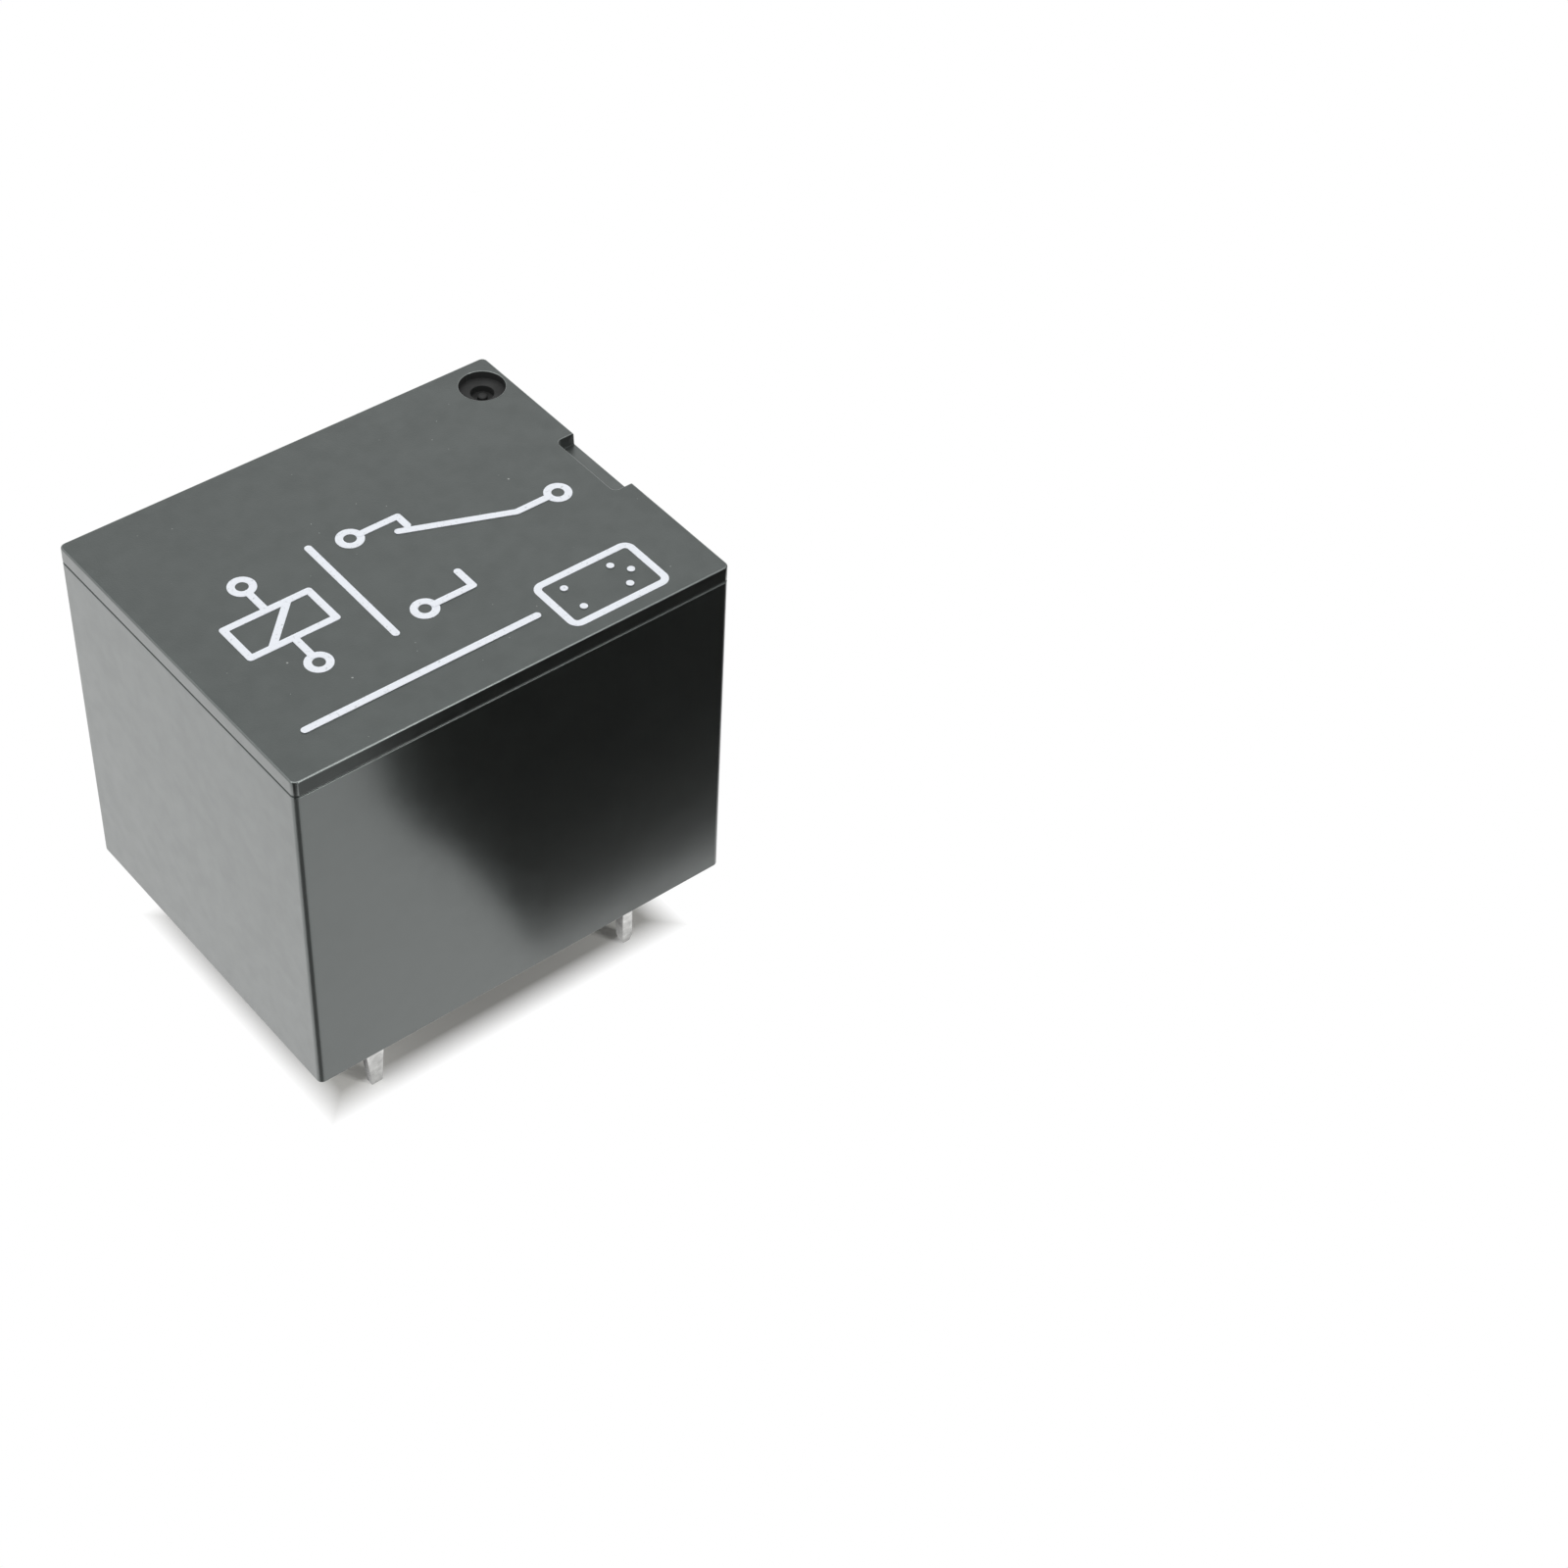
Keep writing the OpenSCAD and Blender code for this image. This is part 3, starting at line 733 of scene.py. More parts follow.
class NodeRecipe(NodeBench):
    """A Geometry Nodes tree under construction, with named inputs."""

    prefix = "GeometryNode"

    def __init__(self, name: str) -> None:
        """Starts a tree with a geometry input and a geometry output.

        Args:
            name: Name of the tree.
        """
        super().__init__(bpy.data.node_groups.new(name, "GeometryNodeTree"))
        self.keys: dict[str, str] = {}
        self.values: dict[str, object] = {}
        for way in ("INPUT", "OUTPUT"):
            self.tree.interface.new_socket("Geometry", in_out=way, socket_type="NodeSocketGeometry")
        self.source = self.tree.nodes.new("NodeGroupInput")
        self.sink = self.tree.nodes.new("NodeGroupOutput")

    def given(self, name: str, kind: str, value: object) -> Socket:
        """Adds a named input.

        Args:
            name: Name of the input.
            kind: Type of the socket, such as Float.
            value: Value that the modifier gets.

        Returns:
            The socket inside the tree.
        """
        item = self.tree.interface.new_socket(name, in_out="INPUT", socket_type=f"NodeSocket{kind}")
        self.keys[name] = item.identifier
        self.values[name] = value
        return self.source.outputs[name]

    def sweep(self, curve: Node, section: Node) -> Socket:
        """Sweeps a section along a curve and closes the ends."""
        links = {"Curve": curve.outputs["Curve"], "Profile Curve": section.outputs["Curve"], "Fill Caps": True}
        return self.add("CurveToMesh", links).outputs["Mesh"]

    def join(self, *parts: Socket) -> Socket:
        """Joins geometries into one.

        Args:
            parts: The geometries, in order.

        Returns:
            The joined geometry.
        """
        node = self.add("JoinGeometry")
        for part in parts:
            self.fill(node, {"Geometry": part})
        return node.outputs["Geometry"]

    def run(self, piece: Piece, shape: Socket, material: Material) -> Piece:
        """Ends the tree, runs it on a piece and keeps the result as plain mesh.

        Args:
            piece: The piece whose mesh goes in.
            shape: The geometry that the tree made.
            material: Finish of the result.

        Returns:
            The same piece.
        """
        finish = self.given("Finish", "Material", material)
        real = self.add("RealizeInstances", {"Geometry": shape})
        coat = self.add("SetMaterial", {"Geometry": real.outputs["Geometry"], "Material": finish})
        self.fill(self.sink, {"Geometry": coat.outputs["Geometry"]})
        modifier = piece.modifiers.new(self.tree.name, "NODES")
        modifier.node_group = self.tree
        for name, key in self.keys.items():
            modifier[key] = self.values[name]
        bake(piece)
        piece.data.shade_smooth()
        piece.data.set_sharp_from_angle(angle=math.radians(SHARP_DEGREES))
        return piece


# Sub-assemblies


@dataclass
class Cover:
    """The moulded box, with its parting groove, vent, notch and rim pockets."""

    finishes: Finishes
    length: float = 19.0
    width: float = 15.5
    height: float = 15.8
    wall: float = 0.7
    roof: float = 0.9
    corner_r: float = 0.25
    inner_r: float = 0.3
    edge_r: float = 0.08
    rim_r: float = 0.05
    band: float = 0.65
    groove_h: float = 0.1
    groove_d: float = 0.06
    vent: Point = (8.38, 6.29, 0.35)
    vent_d: float = 1.85
    well_d: float = 0.93
    well_depth: float = 0.3
    nib_d: float = 0.4
    nib_drop: float = 0.1
    notch: Point = (0.82, 3.6, 0.5)
    notch_r: float = 0.25
    pocket: Point = (1.2, 0.35, 0.6)
    pocket_x: float = 6.6
    pocket_reach: float = 0.1
    notch_flare: float = 0.12
    nib_tip: float = 0.6
    nib_edge: float = 0.04
    over: float = 0.2
    least_r: float = 0.02
    cut_edge: float = 0.022
    rim_steps: int = 3
    edge_steps: int = 6
    level_normal: float = 0.99
    margin: float = 0.05
    roof_skin: float = 0.01
    sunk: float = 0.03

    def ring(self, inset: float, radius: float, level: float) -> list[Point]:
        """One ring of the box, inset from its widest outline."""
        outline = round_outline(self.length - 2 * inset, self.width - 2 * inset, radius)
        return [(x, y, level) for x, y in outline]

    def outer(self, inset: float, level: float) -> list[Point]:
        """One ring of the outside."""
        return self.ring(inset, max(self.corner_r - inset, self.least_r), level)

    def inner(self, grow: float, level: float) -> list[Point]:
        """One ring of the inside, grown from the inner walls."""
        return self.ring(self.wall - grow, self.inner_r + grow, level)

    def rings(self) -> list[list[Point]]:
        """Rings from the ceiling down the inside, round the rim and up the outside to the roof."""
        low = self.height - self.band - self.groove_h
        high = low + self.groove_h
        made = [self.inner(0, self.height - self.roof)]
        made += [self.inner(self.rim_r * (1 - c), self.rim_r * (1 - s)) for c, s in quarter(self.rim_steps)]
        made += [self.outer(self.rim_r * (1 - s), self.rim_r * (1 - c)) for c, s in quarter(self.rim_steps)]
        for inset, level in ((0, low), (self.groove_d, low), (self.groove_d, high), (0, high)):
            made.append(self.outer(inset, level))
        for c, s in quarter(self.edge_steps):
            made.append(self.outer(self.edge_r * (1 - c), self.height - self.edge_r * (1 - s)))
        return made

    def vent_cutter(self) -> Mesh:
        """The vent's recess and the well around its nib, as one turned cutter."""
        x, y, depth = self.vent
        floor = self.height - depth
        bottom, tip = floor - self.well_depth, floor - self.nib_drop
        nib, well, vent = self.nib_d / 2, self.well_d / 2, self.vent_d / 2
        profile = [
            (nib * self.nib_tip, tip), (nib, tip - self.nib_edge), (nib, bottom), (well, bottom), (well, floor),
            (vent, floor), (vent, self.height + self.over),
        ]
        return finish_mesh("vent_cut", lathe(profile, (x, y)))

    def notch_cutter(self) -> Mesh:
        """The notch in the roof's edge at the common end, a little wider at the top."""
        depth, width, drop = self.notch
        rings = []
        for flare, level in ((0, self.height - drop), (self.notch_flare, self.height + self.over)):
            outline = round_outline(2 * depth + flare, width + flare, self.notch_r)
            rings.append([(x + self.length / 2, y, level) for x, y in outline])
        return finish_mesh("notch_cut", loft(rings))

    def pocket_cutters(self) -> list[Mesh]:
        """The four pockets in the rim."""
        width, depth, height = self.pocket
        inside = self.width / 2 - self.wall
        low = -self.pocket_reach
        outline = [(-width / 2, low), (width / 2, low), (width / 2, depth), (-width / 2, depth)]
        made = []
        for sx in (-1, 1):
            for side in Side:
                turned = [(x, side.value * y) for x, y in outline]
                if side is Side.A:
                    turned.reverse()
                shape = prism(turned, -self.over, height, (sx * self.pocket_x, side.value * inside))
                made.append(finish_mesh("pocket_cut", shape))
        return made

    def build(self) -> Piece:
        """Makes the shell."""
        shell = new_piece("cover_shell", finish_mesh("cover_shell", loft(self.rings())), self.finishes.sides)
        carve(shell, [self.vent_cutter(), self.notch_cutter(), *self.pocket_cutters()])
        return soften(shell, self.cut_edge)

    def skin(self, face: bpy.types.MeshPolygon) -> Skin:
        """Chooses the finish of one face.

        Args:
            face: A face of the shell.

        Returns:
            The roof's own for its flat, the base's for its notch and its long side bands, the recess's for its vent,
            and the sides' for all else.
        """
        x, y, z = (c / MM for c in face.center)
        if face.normal.z > self.level_normal and z > self.height - self.roof_skin:
            return Skin.ROOF
        if abs(face.normal.y) > self.level_normal and z > self.height - self.band:
            return Skin.BASE
        inside = abs(x) < self.length / 2 - self.margin and abs(y) < self.width / 2 - self.margin
        if not inside or not self.height - self.roof + self.margin < z < self.height - self.sunk:
            return Skin.SIDES
        reach = math.hypot(x - self.vent[0], y - self.vent[1])
        return Skin.RECESS if reach < self.vent_d / 2 + self.margin else Skin.BASE

    def dress(self, shell: Piece) -> None:
        """Gives the roof its eroded finish and its vent a duller one, whose colour is darkened with painted shade.

        Args:
            shell: The shell.
        """
        shell.data.materials.clear()
        for finish in (self.finishes.sides, self.finishes.roof, self.finishes.base, self.finishes.recess):
            shell.data.materials.append(finish)
        for face in shell.data.polygons:
            face.material_index = self.skin(face).value

    def make(self) -> None:
        """Builds, dresses and places the cover."""
        shell = self.build()
        self.dress(shell)
        settle(shell, Body.HOUSING, "cover")


@dataclass
class Legend:
    """The white wiring diagram on the roof, drawn with strokes of one width."""

    finishes: Finishes
    level: float = 15.8
    stroke: float = 0.3
    ink: float = 0.01
    step: float = 0.001
    bar: tuple[Flat, Flat] = ((-2.32, 2.2), (-2.38, -3.5))
    coil: tuple[float, float, float, float] = (-5.4, -0.65, 3.6, 1.8)
    plan: tuple[float, float, float, float] = (5.1, -5.75, 4.2, 2.5)
    terminals: Sequence[Flat] = ((-5.4, 1.85), (-5.4, -3.15), (6.9, -0.65), (-0.8, 1.75), (-0.8, -3.05))
    terminal_d: float = 0.8
    ring_steps: int = 28
    dot_steps: int = 24
    plan_r: float = 0.3
    plan_steps: int = 6
    pins: Sequence[Flat] = ((-1.25, -0.6), (-1.25, 0.6), (0.85, -0.6), (0.85, 0.6), (1.35, 0.0))
    blade: Point = (5.0, 0.85, 0.72)
    tip: float = 1.3
    hooks: Flat = (0.62, 0.95)
    rule: Flat = (-7.7, 2.2)

    def ring(self, x: float, y: float) -> list[Flat]:
        """Points of a terminal's ring."""
        turns = [2 * math.pi * i / self.ring_steps for i in range(self.ring_steps)]
        return [(x + self.terminal_d / 2 * math.cos(t), y + self.terminal_d / 2 * math.sin(t)) for t in turns]

    def loops(self) -> list[list[Flat]]:
        """Closed lines: the rings of the terminals and the outline of the pin plan."""
        x, y, w, h = self.plan
        outline = [(px + x, py + y) for px, py in round_outline(w, h, self.plan_r, self.plan_steps)]
        return [outline, *(self.ring(*at) for at in self.terminals)]

    def lines(self) -> list[list[Flat]]:
        """Straight strokes: bar, coil with leads, changeover blade with its contacts, and rule."""
        x, y, w, h = self.coil
        (_, high), (_, low), common, closed, opened = self.terminals
        half = self.terminal_d / 2
        bend, end, gap = self.blade
        down, up = self.hooks
        box = [(x - w / 2, y - h / 2), (x + w / 2, y - h / 2), (x + w / 2, y + h / 2), (x - w / 2, y + h / 2)]
        drawn = [
            list(self.bar),
            [*box, box[0]],
            [(x - w / 4, y - h / 2), (x + w / 4, y + h / 2)],
            [(x, y + h / 2), (x, high - half)],
            [(x, y - h / 2), (x, low + half)],
            [(common[0] - half, common[1]), (bend, common[1]), (end, closed[1] - gap)],
            [(closed[0] + half, closed[1]), (self.tip, closed[1]), (self.tip, closed[1] - down)],
            [(opened[0] + half, opened[1]), (self.tip, opened[1]), (self.tip, opened[1] + up)],
            [(at, self.plan[1]) for at in self.rule],
        ]
        return [[start, end] for line in drawn for start, end in zip(line, line[1:])]

    def pads(self) -> list[list[Flat]]:
        """Single points where the pin plan shows its five pins."""
        x, y = self.plan[:2]
        return [[(x + dx, y + dy)] for dx, dy in self.pins]

    def paths(self) -> Mesh:
        """All strokes as loose edges, each at its own level, with the points that get a round end marked."""
        points: list[Point] = []
        edges: list[tuple[int, int]] = []
        marks: list[bool] = []
        loops = self.loops()
        for index, line in enumerate([*loops, *self.lines(), *self.pads()]):
            first, count = len(points), len(line)
            closed = index < len(loops)
            edges += [(first + i, first + i + 1) for i in range(count - 1)]
            if closed:
                edges.append((first + count - 1, first))
            level = self.level + self.step * index
            points += [(x * MM, y * MM, level * MM) for x, y in line]
            marks += [not closed] * count
        mesh = bpy.data.meshes.new("legend_paths")
        mesh.from_pydata(points, edges, [])
        mesh.attributes.new("round", "BOOLEAN", "POINT").data.foreach_set("value", marks)
        return mesh

    def build(self) -> Piece:
        """Sweeps a flat section along the strokes and rounds their ends and turns."""
        recipe = NodeRecipe("printed_strokes")
        width = recipe.given("Stroke", "Float", self.stroke * MM)
        height = recipe.given("Ink", "Float", 2 * self.ink * MM)
        dot_height = recipe.given("Dot ink", "Float", (2 * self.ink - self.step) * MM)
        radius = recipe.given("Round", "Float", self.stroke / 2 * MM)
        lines = recipe.source.outputs["Geometry"]
        curve = recipe.add("MeshToCurve", {"Mesh": lines})
        flat = recipe.add("SetCurveNormal", {"Curve": curve.outputs["Curve"]}, mode="Z_UP")
        section = recipe.add("CurvePrimitiveQuadrilateral", {"Width": width, "Height": height})
        marked = recipe.add("InputNamedAttribute", {"Name": "round"}, data_type="BOOLEAN")
        dot = recipe.add("MeshCylinder", {"Vertices": self.dot_steps, "Radius": radius, "Depth": dot_height})
        dots = recipe.add("InstanceOnPoints", {
            "Points": lines, "Selection": marked.outputs["Attribute"], "Instance": dot.outputs["Mesh"],
        })
        shape = recipe.join(recipe.sweep(flat, section), dots.outputs["Instances"])
        return recipe.run(new_piece("roof_legend", self.paths()), shape, self.finishes.ink)

    def make(self) -> None:
        """Builds and places the print."""
        settle(self.build(), Body.HOUSING)


@dataclass
class Underside:
    """The base plate and the resin that seals it."""

    finishes: Finishes
    plate_edge: float = 0.015
    resin_edge: float = 0.03

    def make(self) -> None:
        """Builds, dresses and places both."""
        dress_copy("base_plate", "base", self.finishes.base, self.plate_edge)
        dress_copy("resin_seal", "sealing_resin", self.finishes.resin, self.resin_edge, 3)


@dataclass
class Pins:
    """The five terminals with their fixed contacts."""

    finishes: Finishes
    edge: float = 0.045
    contact_edge: float = 0.08

    def make(self) -> None:
        """Builds, dresses and places the terminals and the fixed contacts."""
        for node in ("common_terminal", "no_terminal", "nc_terminal", "coil_pin_a", "coil_pin_b"):
            dress_copy(f"{node}_strip", node, self.finishes.tinned, self.edge)
        for node in ("no_contact", "nc_contact"):
            dress_copy(f"{node}_rivet", node, self.finishes.silver, self.contact_edge, 3)


@dataclass
class Magnet:
    """Core, yoke and armature, with the rivets of the leaf spring."""

    finishes: Finishes
    edge: float = 0.06
    rivet_d: float = 1.0
    head_d: float = 1.8
    head_h: float = 0.3
    pitch: float = 2.8
    yoke_rivet: Point = (8.3, 0.0, 8.2)
    yoke_grip: float = 1.75
    armature_rivet: Point = (5.1, 0.0, 12.97)
    armature_grip: float = 1.25
    head_steps: int = 6
    head_side: float = 0.5
    head_edge: float = 0.03
    shank_edge: float = 0.05
    tip_r: float = 0.001
    rivet_steps: int = 32

    def rivet_mesh(self, grip: float) -> Mesh:
        """One rivet with a domed head, upright on z = 0.

        Args:
            grip: Length of the shank below the head.

        Returns:
            The mesh.
        """
        shank, head = self.rivet_d / 2, self.head_d / 2
        profile = [
            (self.tip_r, -grip), (shank - self.shank_edge, -grip), (shank, self.shank_edge - grip), (shank, 0),
            (head - self.head_edge, 0),
        ]
        side = self.head_h * self.head_side
        for c, s in quarter(self.head_steps):
            profile.append((head * c + self.tip_r, side + (self.head_h - side) * s))
        return finish_mesh("rivet", lathe(profile, steps=self.rivet_steps))

    def rivet_row(self, name: str, at: Point, grip: float, turn: Point) -> Piece:
        """Sets a pair of rivets side by side along Y.

        Args:
            name: Name of the piece.
            at: Middle of the pair, under the heads.
            grip: Length of the shanks.
            turn: Rotation of the rivets in radians.

        Returns:
            The piece.
        """
        points = bpy.data.meshes.new(name)
        points.from_pydata([(at[0] * MM, s.value * self.pitch / 2 * MM, at[2] * MM) for s in Side], [], [])
        pattern = new_piece("rivet_pattern", self.rivet_mesh(grip))
        recipe = NodeRecipe("rivet_row")
        model = recipe.add("ObjectInfo", {"Object": recipe.given("Rivet", "Object", pattern)})
        row = recipe.add("InstanceOnPoints", {
            "Points": recipe.source.outputs["Geometry"],
            "Instance": model.outputs["Geometry"],
            "Rotation": recipe.given("Turn", "Rotation", turn),
        })
        piece = recipe.run(new_piece(name, points), row.outputs["Instances"], self.finishes.rivet)
        discard(pattern)
        return piece

    def make(self) -> None:
        """Builds, dresses and places the iron and its rivets."""
        for node, body in (("core", Body.HOUSING), ("yoke", Body.HOUSING), ("armature", Body.ARMATURE)):
            dress_copy(f"{node}_iron", node, self.finishes.iron, self.edge, body=body)
        pair = self.rivet_row("yoke_rivet_pair", self.yoke_rivet, self.yoke_grip, (0, math.pi / 2, 0))
        settle(pair, Body.HOUSING, "yoke_rivets")
        pair = self.rivet_row("armature_rivet_pair", self.armature_rivet, self.armature_grip, (0, 0, 0))
        settle(pair, Body.ARMATURE, "armature_rivets")


@dataclass
class Coil:
    """Bobbin, winding and the solder on the coil pins."""

    finishes: Finishes
    axis_x: float = 0.875
    tube_d: float = 5.2
    radius: float = 4.775
    low: float = 4.4
    height: float = 5.328
    wire_d: float = 0.12
    lead_d: float = 0.2
    lead_z: float = 5.4
    pin: Flat = (6.1, 6.0)
    solder_d: float = 1.1
    bobbin_edge: float = 0.06
    solder_edge: float = 0.05
    drum_gap: float = 0.01
    drum_sink: float = 0.6
    drum_steps: int = 72
    turn_steps: int = 40
    wire_sides: int = 6
    lead_sides: int = 12

    def lead_ends(self, side: Side) -> tuple[Vector, Vector]:
        """Ends of the wire that runs off the winding to one coil pin.

        Args:
            side: The pin's side.

        Returns:
            The end on the winding and the end at the solder, in metres.
        """
        reach = math.hypot(self.pin[0] - self.axis_x, self.pin[1])
        drum = self.radius - self.lead_d / 2
        turn = math.atan2(self.pin[1], self.pin[0] - self.axis_x) + math.acos(drum / reach)
        start = Vector((self.axis_x + drum * math.cos(turn), side.value * drum * math.sin(turn), self.lead_z))
        stop = Vector((self.pin[0], side.value * self.pin[1], self.lead_z))
        stop = stop + (start - stop).normalized() * self.solder_d / 2
        return start * MM, stop * MM

    def winding(self) -> Piece:
        """Winds the outer layer of wire round the drum and leads its two ends off."""
        inner, outer = self.tube_d / 2 + self.drum_gap, self.radius - self.drum_sink * self.wire_d
        top = self.low + self.height
        profile = [(inner, self.low), (outer, self.low), (outer, top), (inner, top), (inner, self.low)]
        drum = new_piece("coil_wire", finish_mesh("coil_wire", lathe(profile, (self.axis_x, 0), self.drum_steps)))
        recipe = NodeRecipe("wire_turns")
        wire_r = recipe.given("Wire radius", "Float", self.wire_d / 2 * MM)
        lead_r = recipe.given("Lead radius", "Float", self.lead_d / 2 * MM)
        bend = recipe.given("Winding radius", "Float", (self.radius - self.wire_d / 2) * MM)
        turns = recipe.given("Turns", "Float", round(self.height / self.wire_d) - 1.0)
        rise = recipe.given("Height", "Float", (self.height - self.wire_d) * MM)
        place = recipe.given("Place", "Vector", (self.axis_x * MM, 0, (self.low + self.wire_d / 2) * MM))
        helix = recipe.add("CurveSpiral", {
            "Resolution": self.turn_steps, "Rotations": turns, "Start Radius": bend, "End Radius": bend, "Height": rise,
        })
        section = recipe.add("CurvePrimitiveCircle", {"Resolution": self.wire_sides, "Radius": wire_r})
        moved = recipe.add("Transform", {"Geometry": recipe.sweep(helix, section), "Translation": place})
        lead_section = recipe.add("CurvePrimitiveCircle", {"Resolution": self.lead_sides, "Radius": lead_r})
        parts = [recipe.source.outputs["Geometry"], moved.outputs["Geometry"]]
        for side in Side:
            start, stop = self.lead_ends(side)
            line = recipe.add("CurvePrimitiveLine", {
                "Start": recipe.given(f"Lead {side.name} start", "Vector", tuple(start)),
                "End": recipe.given(f"Lead {side.name} end", "Vector", tuple(stop)),
            })
            parts.append(recipe.sweep(line, lead_section))
        return recipe.run(drum, recipe.join(*parts), self.finishes.wire)

    def make(self) -> None:
        """Builds, dresses and places the coil."""
        dress_copy("bobbin_spool", "bobbin", self.finishes.bobbin, self.bobbin_edge)
        settle(self.winding(), Body.HOUSING, "coil_winding")
        for node in ("solder_joint_a", "solder_joint_b"):
            dress_copy(f"{node}_bead", node, self.finishes.solder, self.solder_edge, 3)


@dataclass
class ContactArm:
    """The leaf spring with the moving contact."""

    finishes: Finishes
    contact_edge: float = 0.05
    sharp: float = 35.0
    cut_dist: float = 1e-8
    clamp: Point = (7.82, 0.0, 9.3)
    free: Point = (7.3, 0.0, 12.9)
    slices_x: Sequence[float] = field(default_factory=lambda: [x * 0.5 for x in range(-14, 15)])
    slices_z: Sequence[float] = field(default_factory=lambda: [9.0 + 0.25 * i for i in range(16)])

    def spring(self) -> Piece:
        """The spring's strip, sliced across X and Z."""
        strip = node_copy("leaf_spring", "contact_spring", self.finishes.bronze)
        work = bmesh.new()
        work.from_mesh(strip.data)
        planes = [((x * MM, 0, 0), (1, 0, 0)) for x in self.slices_x]
        planes += [((0, 0, z * MM), (0, 0, 1)) for z in self.slices_z]
        for point, normal in planes:
            geometry = [*work.verts, *work.edges, *work.faces]
            bmesh.ops.bisect_plane(work, geom=geometry, dist=self.cut_dist, plane_co=point, plane_no=normal)
        work.to_mesh(strip.data)
        work.free()
        strip.data.shade_smooth()
        strip.data.set_sharp_from_angle(angle=math.radians(self.sharp))
        return strip

    def make(self) -> None:
        """Builds, dresses and places the spring and its contact."""
        strip = self.spring()
        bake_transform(strip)
        report(strip, "contact_spring")
        dress_copy(
            "moving_contact_rivet", "moving_contact", self.finishes.silver, self.contact_edge, 3,
            Body.ARMATURE,
        )


# Studio


@dataclass(frozen=True)
class Softbox:
    """A soft rectangular light. Its radiance is the brightness of its face, where 1 is white."""

    name: str
    at: Point
    aim: Point
    size: Flat
    radiance: float

    def make(self) -> None:
        """Makes the light."""
        data = bpy.data.lights.new(self.name, "AREA")
        data.shape = "RECTANGLE"
        data.size, data.size_y = self.size[0] * MM, self.size[1] * MM
        data.energy = self.radiance * math.pi * data.size * data.size_y
        light = bpy.data.objects.new(self.name, data)
        light.location = Vector(self.at) * MM
        light.rotation_mode = "QUATERNION"
        light.rotation_quaternion = (Vector(self.aim) - Vector(self.at)).to_track_quat("-Z", "Y")
        bpy.context.scene.collection.objects.link(light)


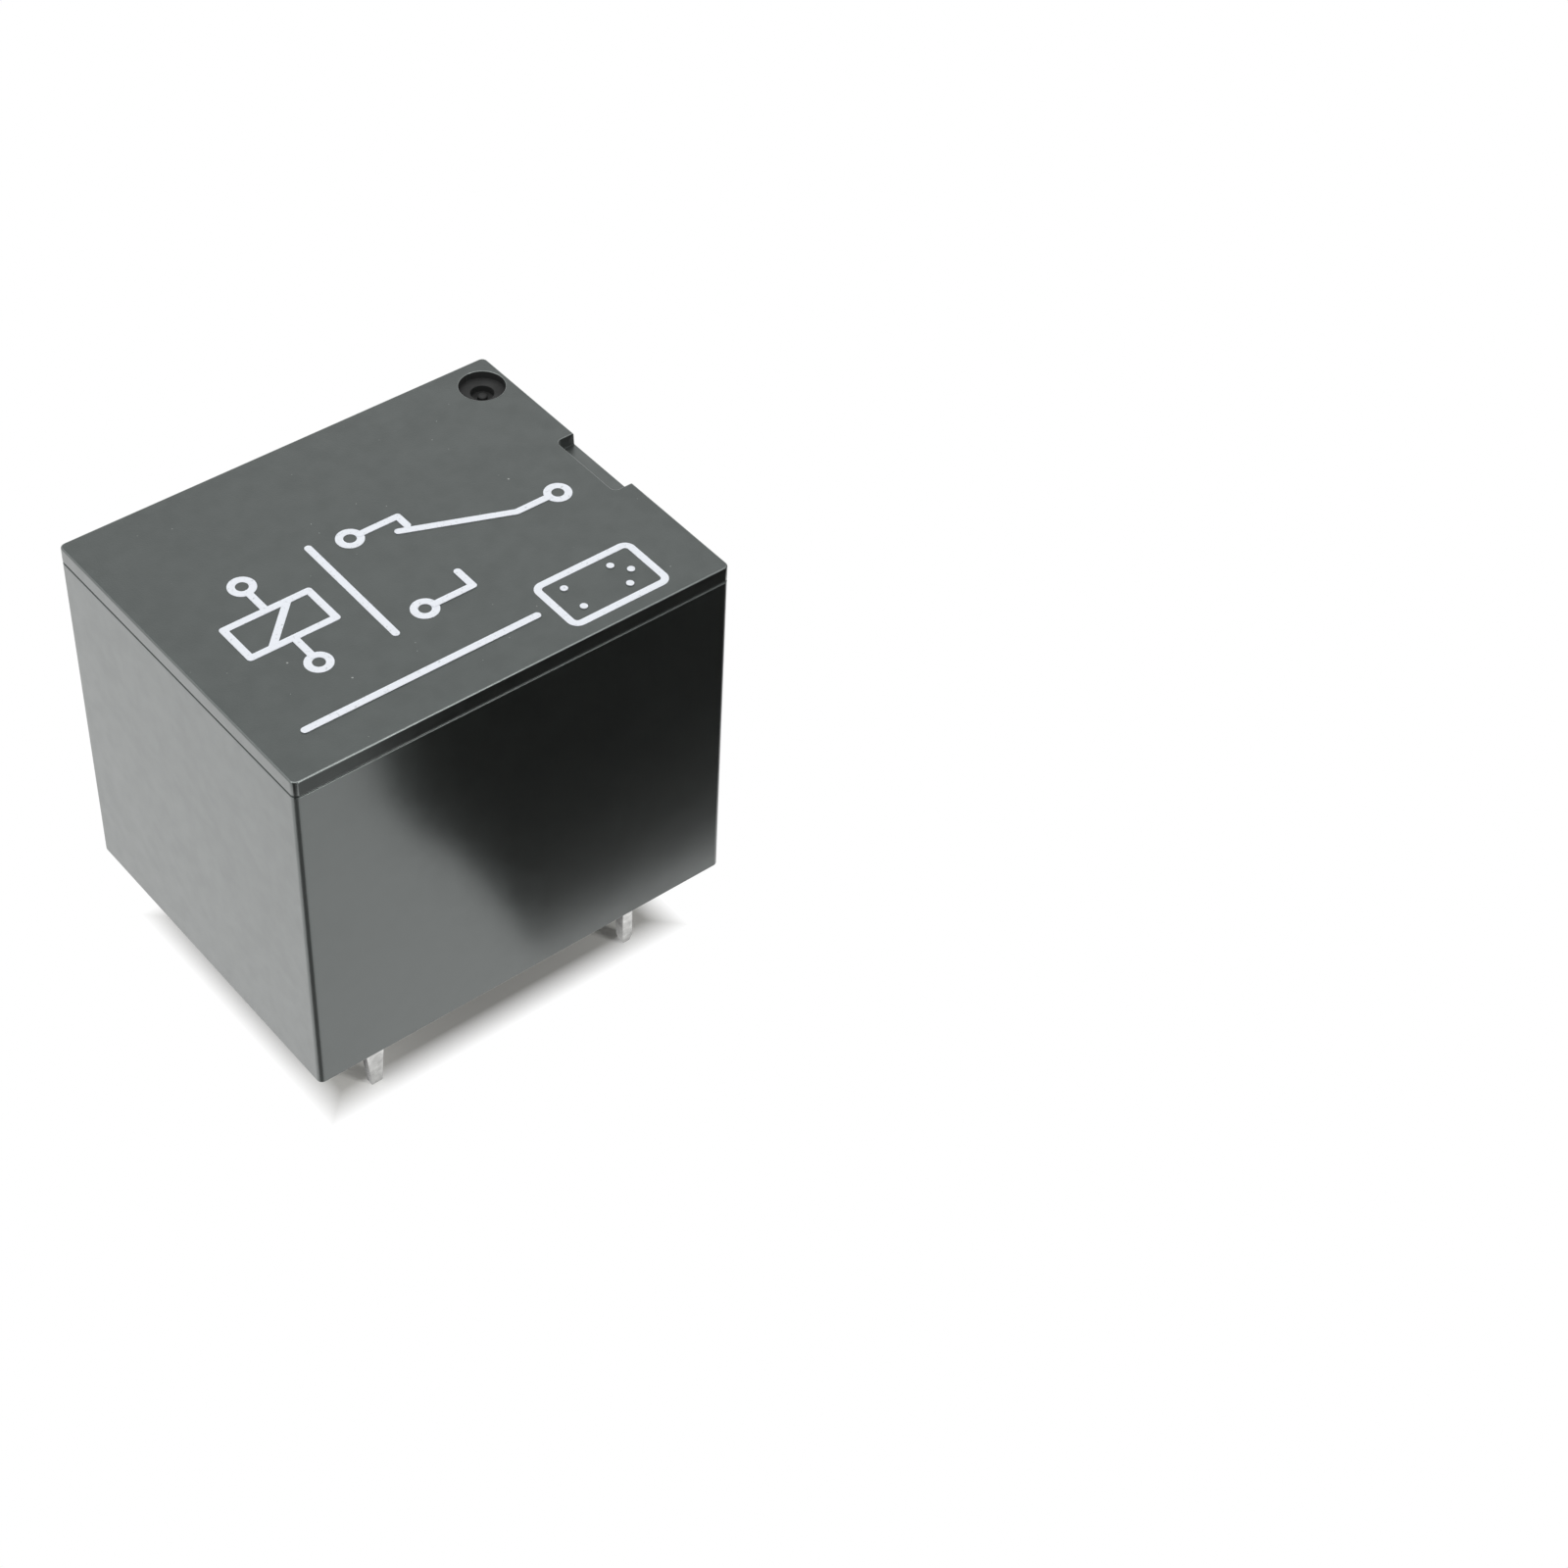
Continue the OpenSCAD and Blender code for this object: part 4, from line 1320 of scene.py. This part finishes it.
@dataclass
class Studio:
    """Pale floor, soft light and the camera at the photograph's angle."""

    floor_z: float = -3.8
    floor_size: float = 2400.0
    camera_at: Point = (-48.359, -76.36, 93.753)
    camera_right: Point = (0.77284, -0.63323, 0.04154)
    camera_up: Point = (0.42413, 0.5641, 0.70846)
    lens: float = 74.223
    sensor: float = 36.0
    clip_metres: Flat = (0.002, 20.0)
    world: float = 0.2
    floor_tone: Colour = (0.86, 0.85, 0.81)
    # painted light: for the camera the floor turns plain white between 2.1 and 0.8 mm inside the footprint's edge,
    # which cuts its shadow short
    painted_white_edge: Spans = ((-2.1, -0.8), (0.0, 1.0))
    # painted reflection: in gloss the floor is painted lighter towards -X
    painted_gloss_falloff: Spans = ((-12.5, -9.0), (1.0, 0.88))
    footprint: Flat = (9.5, 7.75)
    # painted shade: in gloss the floor is painted darker under the relay
    painted_under_shade: Spans = ((-2.8, -0.2), (0.2, 1.0))
    # painted reflections: cards that only gloss sees, at the front and at the near corner, glowing at set levels
    card_foot: Flat = (-11.5, -3.7)
    card_lean: float = 0.09
    card_tone: float = 0.005
    card: Sequence[Flat] = (
        (-3.6, 17.0), (-3.2, 8.6), (-2.4, 6.0), (-0.3, 3.3), (1.1, 0.6), (2.2, -2.1), (2.7, -3.7),
        (26.0, -3.7), (26.0, 17.0),
    )
    corner_card: Spans = ((-12.0, -8.05), (-9.8, -10.25))
    corner_levels: Flat = (-3.7, 17.0)
    corner_tone: float = 0.2
    softboxes: Sequence[Softbox] = (
        Softbox("overhead", at=(20, 60, 340), aim=(0, 0, 8), size=(260, 260), radiance=2.8),
        Softbox("left", at=(-300, 40, 240), aim=(0, 0, 6), size=(240, 240), radiance=2.2),
        Softbox("right_back", at=(190, 260, 240), aim=(0, 0, 8), size=(260, 260), radiance=1.1),
        Softbox("front_right", at=(100, -238, 222), aim=(0, 0, 12), size=(75, 75), radiance=15.0),
    )

    def camera(self) -> None:
        """Makes the camera."""
        data = bpy.data.cameras.new("camera")
        data.lens = self.lens
        data.sensor_width = self.sensor
        data.clip_start, data.clip_end = self.clip_metres
        right, up = Vector(self.camera_right).normalized(), Vector(self.camera_up)
        up = (up - right * up.dot(right)).normalized()
        back = right.cross(up)
        turn = Matrix((right, up, back)).transposed().to_4x4()
        camera = bpy.data.objects.new("camera", data)
        camera.matrix_world = Matrix.Translation(Vector(self.camera_at) * MM) @ turn
        bpy.context.scene.collection.objects.link(camera)
        bpy.context.scene.camera = camera

    def backdrop_light(self) -> None:
        """Makes the surroundings: white where they show, and dimmer as a light."""
        world = bpy.data.worlds.new("surroundings")
        bpy.context.scene.world = world
        world.use_nodes = True
        bench = ShaderBench(world.node_tree)
        level = bench.remap(bench.seen_by("Camera", "Glossy", "Transmission"), (0, 1), (self.world, 1.0))
        bench.fill(bench.tree.nodes["Background"], {"Color": (1, 1, 1, 1), "Strength": level})

    def floor(self) -> None:
        """Makes the floor."""
        half = self.floor_size / 2
        corners = [(-half, -half), (half, -half), (half, half), (-half, half)]
        floor = sheet("floor", [(*corner, self.floor_z) for corner in corners], self.floor_material())

    def floor_material(self) -> Material:
        """White paper, clear from below: it keeps its shadow under the relay, with painted white that cuts the shadow
        short near the footprint's edge; elsewhere it shows white, and in gloss a painted reflection, darker under the
        relay and towards +X.
        """
        bench = MaterialBench("floor_paper")
        bench.tree.nodes.remove(bench.shader)
        split = bench.axes()
        reach = self.footprint_gap(bench, split)
        paper = bench.add("BsdfDiffuse", {"Color": (*self.floor_tone, 1)}).outputs["BSDF"]
        # Painted light over the shadow's edge, for the camera only.
        painted_white_share = bench.calc("MULTIPLY", bench.fade(reach, self.painted_white_edge), bench.seen_by("Camera"))
        lit = bench.mix(painted_white_share, paper, bench.add("Emission").outputs["Emission"])
        # Painted reflection: in gloss the floor is an emission, painted lighter towards -X and darker under the relay,
        # where shade falls.
        side = bench.fade(split.outputs["X"], self.painted_gloss_falloff)
        level = bench.calc("MULTIPLY", side, bench.fade(reach, self.painted_under_shade))
        bright = bench.add("Emission", {"Strength": level}).outputs["Emission"]
        seen = bench.mix(bench.seen_by("Glossy", "Transmission"), lit, bright)
        below = bench.add("NewGeometry").outputs["Backfacing"]
        surface = bench.mix(below, seen, bench.add("BsdfTransparent").outputs["BSDF"])
        bench.fill(bench.tree.nodes["Material Output"], {"Surface": surface})
        return bench.material

    def footprint_gap(self, bench: MaterialBench, split: Node) -> Socket:
        """Measures how far a point of the floor lies outside the relay's footprint.

        Args:
            bench: The floor's material.
            split: The node that parts the object's coordinates.

        Returns:
            The distance in metres, negative inside.
        """
        gaps = []
        for axis, half in zip("XY", self.footprint):
            gaps.append(bench.calc("SUBTRACT", bench.calc("ABSOLUTE", split.outputs[axis]), half * MM))
        return bench.calc("MAXIMUM", *gaps)

    def painted_reflection_cards(self) -> None:
        """Stands cards at the front and at the near corner which only gloss sees, and which glow dimly, so that they
        paint dark reflections on the cover.
        """
        foot_y, foot_z = self.card_foot
        front = [(x, foot_y - self.card_lean * (z - foot_z), z) for x, z in self.card]
        (left, right), (low, high) = self.corner_card, self.corner_levels
        corner = [(*left, low), (*right, low), (*right, high), (*left, high)]
        for name, corners, tone in (("front_card", front, self.card_tone), ("corner_card", corner, self.corner_tone)):
            bench = MaterialBench(f"{name}_felt")
            bench.set(Base_Color=(0, 0, 0, 1), Specular_IOR_Level=0.0, Roughness=1.0)
            # The cards glow at a set level, though they are no lamps, to paint the reflections' tone.
            bench.set(Emission_Color=(1, 1, 1, 1), Emission_Strength=tone)
            card = sheet(name, corners, bench.material)
            for ray in ("camera", "diffuse", "transmission", "volume_scatter", "shadow"):
                setattr(card, f"visible_{ray}", False)

    def make(self) -> None:
        """Sets up the studio."""
        bpy.context.scene.view_settings.view_transform = "Standard"
        self.camera()
        self.backdrop_light()
        self.floor()
        self.painted_reflection_cards()
        for softbox in self.softboxes:
            softbox.make()


def main() -> None:
    """Builds the relay piece by piece, then the studio."""
    logging.basicConfig(level=logging.INFO, format="%(name)s %(message)s")
    finishes = Finishes()
    for part in (Cover, Legend, Underside, Pins, Magnet, Coil, ContactArm):
        LOG.info("making %s", part.__name__)
        part(finishes).make()
    Studio().make()


if __name__ == "__main__":
    main()
